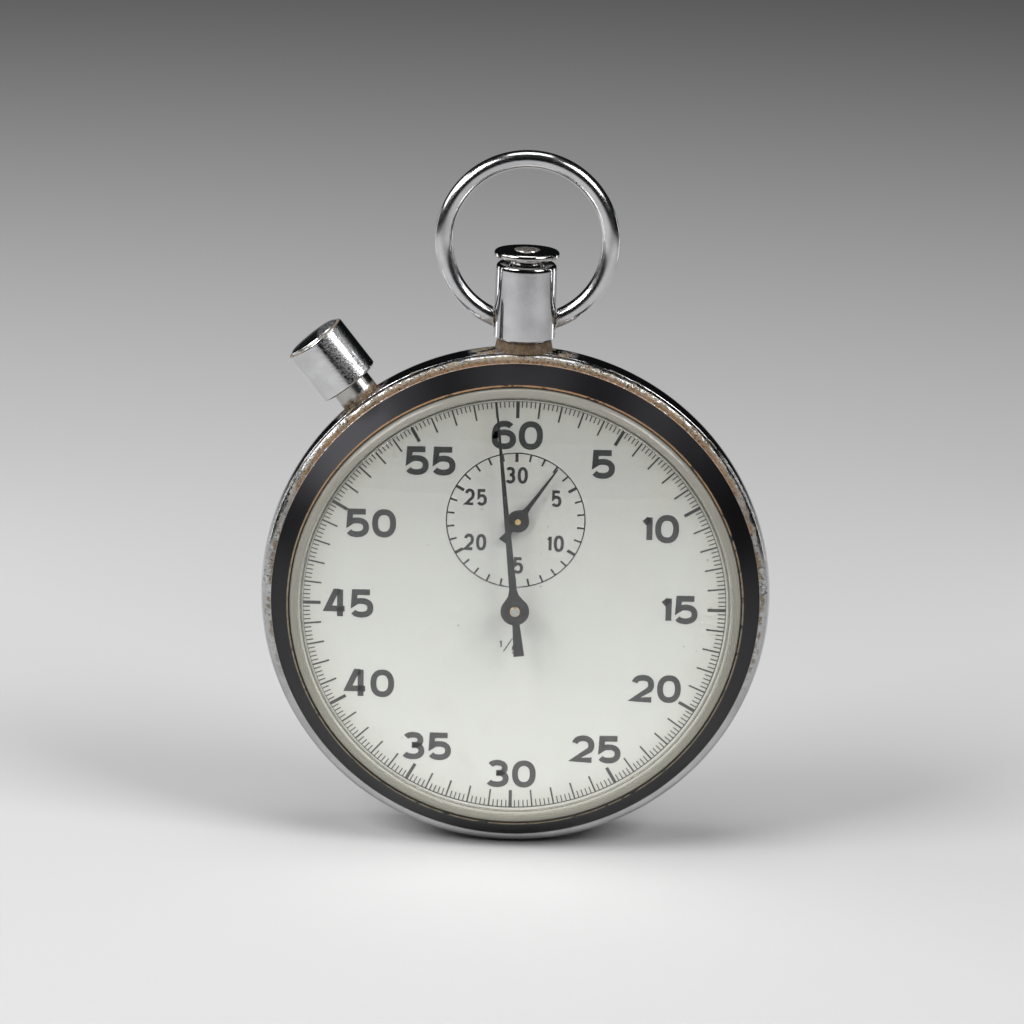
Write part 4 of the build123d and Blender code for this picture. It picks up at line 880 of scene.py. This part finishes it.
def bow_ring():
    """Round wire ring whose ends are cut flat beside the pendant and carry the pivot pins."""
    wire = 0.92
    middle = BOW_RADIUS - wire
    centre_z = bow_high.z - BOW_RADIUS
    end_x = PENDANT_RADIUS + 0.06
    corners = []
    faces = []
    sides = 28
    first = -90 + math.degrees(math.asin(end_x / middle)) - 6
    last = 270 - math.degrees(math.asin(end_x / middle)) + 6
    steps = 180
    for i in range(steps + 1):
        turn = math.radians(first + (last - first) * i / steps)
        out = Vector((math.cos(turn), 0, math.sin(turn)))
        spot = Vector((0, -STEM_HEIGHT, centre_z)) + out * middle
        for k in range(sides):
            around = TAU * k / sides
            corner = spot + (out * math.cos(around) + Vector((0, 1, 0)) * math.sin(around)) * wire
            if abs(corner.x) < end_x and corner.z < centre_z:
                corner.x = math.copysign(end_x, corner.x)
            corners.append(corner)
    for i in range(steps):
        for k in range(sides):
            m = (k + 1) % sides
            faces.append([i * sides + k, i * sides + m, (i + 1) * sides + m, (i + 1) * sides + k])
    faces.append(list(range(sides)))
    faces.append(list(range(steps * sides, (steps + 1) * sides)))
    piece = new_mesh("bow_ring", corners, faces)
    fix_normals(piece)
    return piece


def bow_pin(side):
    """Pivot pin of the bow inside the pendant's hole."""
    profile = [(0.0, 2.06), (0.52, 2.06), (0.6, 2.15), (0.6, 3.6), (0.0, 3.6)]
    name = "bow_pin_left" if side < 0 else "bow_pin_right"
    return lathe(name, profile, (0, -STEM_HEIGHT, BOW_PIVOT), (side, 0, 0), 48)


def pusher_cap():
    """Side button: a plain cylinder with a worn rounded rim and a domed end."""
    far = PUSHER_FAR
    near = PUSHER_NEAR
    r = 3.3
    dome = arc_through((0.0, far), (1.5, far - 0.04), (2.62, far - 0.13), 10)
    rim = arc_through((2.94, far - 0.36), (3.2, far - 0.42), (r, far - 0.62), 8)
    outline = dome + [(2.8, far - 0.22), (2.86, far - 0.34)] + rim + [(r, near + 0.15), (r - 0.15, near)]
    outline += [(2.16, near), (2.16, 33.0), (0.0, 33.0)]
    return lathe("pusher_cap", soften(outline, 0.05, closed=False), (0, -STEM_HEIGHT, 0), pusher_axis, 160)


def pusher_sleeve():
    """Tube that the side button slides on."""
    outline = [
        (0.84, TUBE_NEAR + 0.1), (2.1, TUBE_NEAR + 0.1), (2.1, TUBE_FAR), (0.84, TUBE_FAR),
    ]
    return lathe("pusher_sleeve", soften(outline, 0.08), (0, -STEM_HEIGHT, 0), pusher_axis, 128)


stand_for(pendant(), "pendant_tube", "watch", "pendant_chrome")
stand_for(crown_cap(), "crown", "crown", "crown_chrome")
ring = bow_ring()
stand_for(ring, "bow", "bow", "bow_chrome")
for side in (-1, 1):
    pin = bow_pin(side)
    dress(pin, "bow_chrome")
    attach(pin, "bow")
stand_for(pusher_cap(), "pusher_button", "pusher", "pusher_chrome")
stand_for(pusher_sleeve(), "pusher_tube", "watch", "worn_brass")


# ================================================================ dial and its printing
def dial_plate():
    """Flat dial with a softened edge and centre hole."""
    back = DIAL_FACE - 0.4
    outline = [(0.7, back), (DIAL_RADIUS, back), (DIAL_RADIUS, DIAL_FACE), (0.7, DIAL_FACE)]
    return front_lathe("dial_plate", soften(outline, 0.05), segments=256)


def polar_place(radius, clock, place=(0.0, 0.0)):
    """Place at a radius and a clockwise angle in degrees from twelve o'clock."""
    turn = math.radians(clock)
    return (place[0] + radius * math.sin(turn), place[1] + radius * math.cos(turn))


def tick(ink, place, outer, length, width, clock):
    """One radial tick."""
    ink.stroke([polar_place(outer, clock, place), polar_place(outer - length, clock, place)], width)


def seconds_track():
    """Outer circle, fifth-second ticks and the large numerals."""
    ink = Print()
    track = 21.8
    circle = [polar_place(track, 360 * i / 360) for i in range(360)]
    ink.stroke(circle, 0.10, True)
    for fifth in range(300):
        clock = 360 * fifth / 300
        if fifth % 25 == 0:
            tick(ink, (0, 0), track, 1.9, 0.34, clock)
        elif fifth % 5 == 0:
            tick(ink, (0, 0), track, 1.85, 0.17, clock)
        else:
            tick(ink, (0, 0), track, 0.79, 0.11, clock)
    for second in range(5, 65, 5):
        clock = second * 6
        radius = {0: 18.1, 1: 17.6, 2: 17.1, 3: 17.0}[min(second // 5 % 6, 6 - second // 5 % 6)]
        numeral(ink, str(second), polar_place(radius, clock), 3.0, 2.47, 0.62, 0.26)
    return ink.build("seconds_print")


def minute_track():
    """Circle, minute ticks and small numerals of the register."""
    ink = Print()
    place = (0.0, MINUTE_Z)
    track = 7.07
    ink.stroke([polar_place(track, 3 * i, place) for i in range(120)], 0.12, True)
    for minute in range(30):
        heavy = minute % 5 == 0
        tick(ink, place, track, 0.92 if heavy else 0.77, 0.32 if heavy else 0.19, 12 * minute)
    for minute in range(5, 35, 5):
        numeral(ink, str(minute), polar_place(4.75, 12 * minute, place), 1.75, 1.05, 0.32, 0.2)
    return ink.build("minute_print")


def small_print():
    """The one-fifth mark above six o'clock."""
    ink = Print()
    numeral(ink, "1", (-1.3, -4.0), 0.8, 0.55, 0.13, 0.1)
    ink.stroke([(-1.0, -4.8), (-0.1, -3.4)], 0.11)
    numeral(ink, "5", (0.1, -4.6), 0.8, 0.55, 0.13, 0.1)
    return ink.build("fifth_print")


stand_for(dial_plate(), "dial", "watch", "dial_paint")
for printed in (seconds_track(), minute_track(), small_print()):
    printed.data.materials.append(ink_material)
    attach(printed, "watch")


# ================================================================ hands
def turned_outline(outline, place, direction):
    """Moves an outline drawn along +x so that it points along a direction from a place."""
    along = Vector(direction).normalized()
    across = Vector((-along.y, along.x))
    return [(place[0] + along.x * a + across.x * b, place[1] + along.y * a + across.y * b) for a, b in outline]


def hand_outline(length, root, width, tip, hub, tail, tail_root, tail_width):
    """Half a hand mirrored into a whole one: a tail that widens, a round hub and a tapering blade."""
    leave = math.degrees(math.asin(tail_root / 2 / hub))
    hub_arc = [(hub * math.cos(math.radians(t)), hub * math.sin(math.radians(t))) for t in range(180 - int(leave), 39, -10)]
    upper = [(-tail, tail_width / 2)] + hub_arc + [(hub * 1.12, width * 0.72), (root, width / 2), (length, tip / 2)]
    lower = [(a, -b) for a, b in reversed(upper)]
    return upper + lower


def farthest(node, place):
    """Direction from a place to the point of a CAD node farthest from it."""
    best = Vector((0.0, 0.0))
    for vertex in frame["nodes"][node].data.vertices:
        offset = Vector((vertex.co.x / MM - place[0], vertex.co.z / MM - place[1]))
        if offset.length > best.length:
            best = offset
    return best


def sweep_hand():
    """Sweep seconds hand: its blade slopes down from a tall hub towards the dial."""
    tip = farthest("seconds_hand", (0.0, 0.0))
    low, high = 11.15, 12.2
    span = tip.length

    def lift(x, z):
        along = (x * tip.x + z * tip.y) / span
        return (high - low) * (1 - max(0.0, min(1.0, (along - 2.0) / (span - 2.0))))

    outline = hand_outline(span, 2.3, 0.78, 0.15, 1.47, 4.8, 0.8, 1.1)
    return flat_piece("sweep_hand", turned_outline(outline, (0, 0), tip), low, low + 0.16, lift)


def hub(name, place, height, outer, inner, top):
    """Raised collet of a hand, with a hole."""
    outline = [(inner, height), (outer, height), (outer, top), (inner, top)]
    return front_lathe(name, soften(outline, 0.05), place, 64)


sweep = sweep_hand()
stand_for(sweep, "seconds_hand", "sweep", "dark_hands")
register = flat_piece(
    "register_hand",
    turned_outline(
        hand_outline(6.8, 1.75, 0.46, 0.12, 1.15, 2.6, 0.45, 0.95), (0, MINUTE_Z),
        farthest("minute_hand", (0.0, MINUTE_Z)),
    ),
    10.85, 11.0,
)
stand_for(register, "minute_hand", "minute", "dark_hands")
for name, place, height, outer, inner, top, body, slot in (
    ("sweep_pipe", (0, 0), 11.6, 0.52, 0.30, 12.50, "sweep", "gilt_brass"),
    ("sweep_boss", (0, 0), 12.3, 1.0, 0.52, 12.42, "sweep", "dark_hands"),
    ("register_pipe", (0, MINUTE_Z), 10.6, 0.5, 0.31, 11.22, "minute", "dark_hands"),
    ("register_boss", (0, MINUTE_Z), 10.95, 1.05, 0.5, 11.08, "minute", "dark_hands"),
):
    collet = hub(name, place, height, outer, inner, top)
    dress(collet, slot)
    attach(collet, body)


# ================================================================ stage, light and camera
FLOOR_COLOUR = (0.55, 0.55, 0.55)


def stage_floor():
    """Plain pale floor, one colour all over."""
    mesh = bpy.data.meshes.new("floor")
    size = 3.0
    z = FLOOR_Z * MM
    mesh.from_pydata([(-size, -size, z), (size, -size, z), (size, size, z), (-size, size, z)], [], [(0, 1, 2, 3)])
    floor = bpy.data.objects.new("floor", mesh)
    bpy.context.scene.collection.objects.link(floor)
    s = Shader("floor_paper")
    s.bump(s.noise(2.0, 3.0), 0.01, 0.1)
    mesh.materials.append(s.finish(Base_Color=FLOOR_COLOUR, Roughness=1.0, Specular_IOR_Level=0.0))


def softbox(name, place, size, power, aim=(0.0, -0.008, 0.005)):
    """Rectangular area light that looks at the watch."""
    data = bpy.data.lights.new(name, "AREA")
    data.shape = "RECTANGLE"
    data.size, data.size_y = size
    data.energy = power
    lamp = bpy.data.objects.new(name, data)
    lamp.location = place
    lamp.rotation_euler = (Vector(aim) - Vector(place)).to_track_quat("-Z", "Y").to_euler()
    bpy.context.scene.collection.objects.link(lamp)


def world_light(level):
    """Dim even surroundings."""
    world = bpy.data.worlds.new("studio")
    bpy.context.scene.world = world
    world.use_nodes = True
    shade = world.node_tree.nodes["Background"]
    shade.inputs["Color"].default_value = (*level, 1.0)
    shade.inputs["Strength"].default_value = 1.0


stage_floor()
world_light((0.006, 0.0064, 0.0070))
softbox("key_left", (-0.37, -0.24, 0.38), (0.28, 0.28), 2.8)
softbox("key_right", (0.37, -0.24, 0.38), (0.26, 0.26), 2.4)
softbox("overhead", (0.0, -0.02, 0.52), (0.28, 0.22), 0.75)
softbox("high_left", (-0.42, 0.04, 0.24), (0.26, 0.22), 0.6)
softbox("strip_left", (-0.13, 0.10, 0.02), (0.012, 0.07), 0.012, (0.0, -0.006, 0.02))
softbox("strip_right", (0.13, 0.10, 0.02), (0.012, 0.07), 0.012, (0.0, -0.006, 0.02))

ELEVATION = math.radians(14.8)
DISTANCE = 400.0
ROLL = math.radians(1.95)
aim_point = Vector((-0.64, -DIAL_FACE, 10.0)) * MM
direction = Vector((0.0, -math.cos(ELEVATION), math.sin(ELEVATION)))
camera_data = bpy.data.cameras.new("camera")
camera_data.lens = 137.0
camera_data.sensor_width = 36.0
camera = bpy.data.objects.new("camera", camera_data)
camera.matrix_world = (
    Matrix.Translation(aim_point + direction * DISTANCE * MM)
    @ (-direction).to_track_quat("-Z", "Y").to_matrix().to_4x4()
    @ Matrix.Rotation(ROLL, 4, "Z")
)
camera_data.clip_start = 0.01
bpy.context.scene.collection.objects.link(camera)
bpy.context.scene.camera = camera
bpy.context.scene.view_settings.view_transform = "Standard"
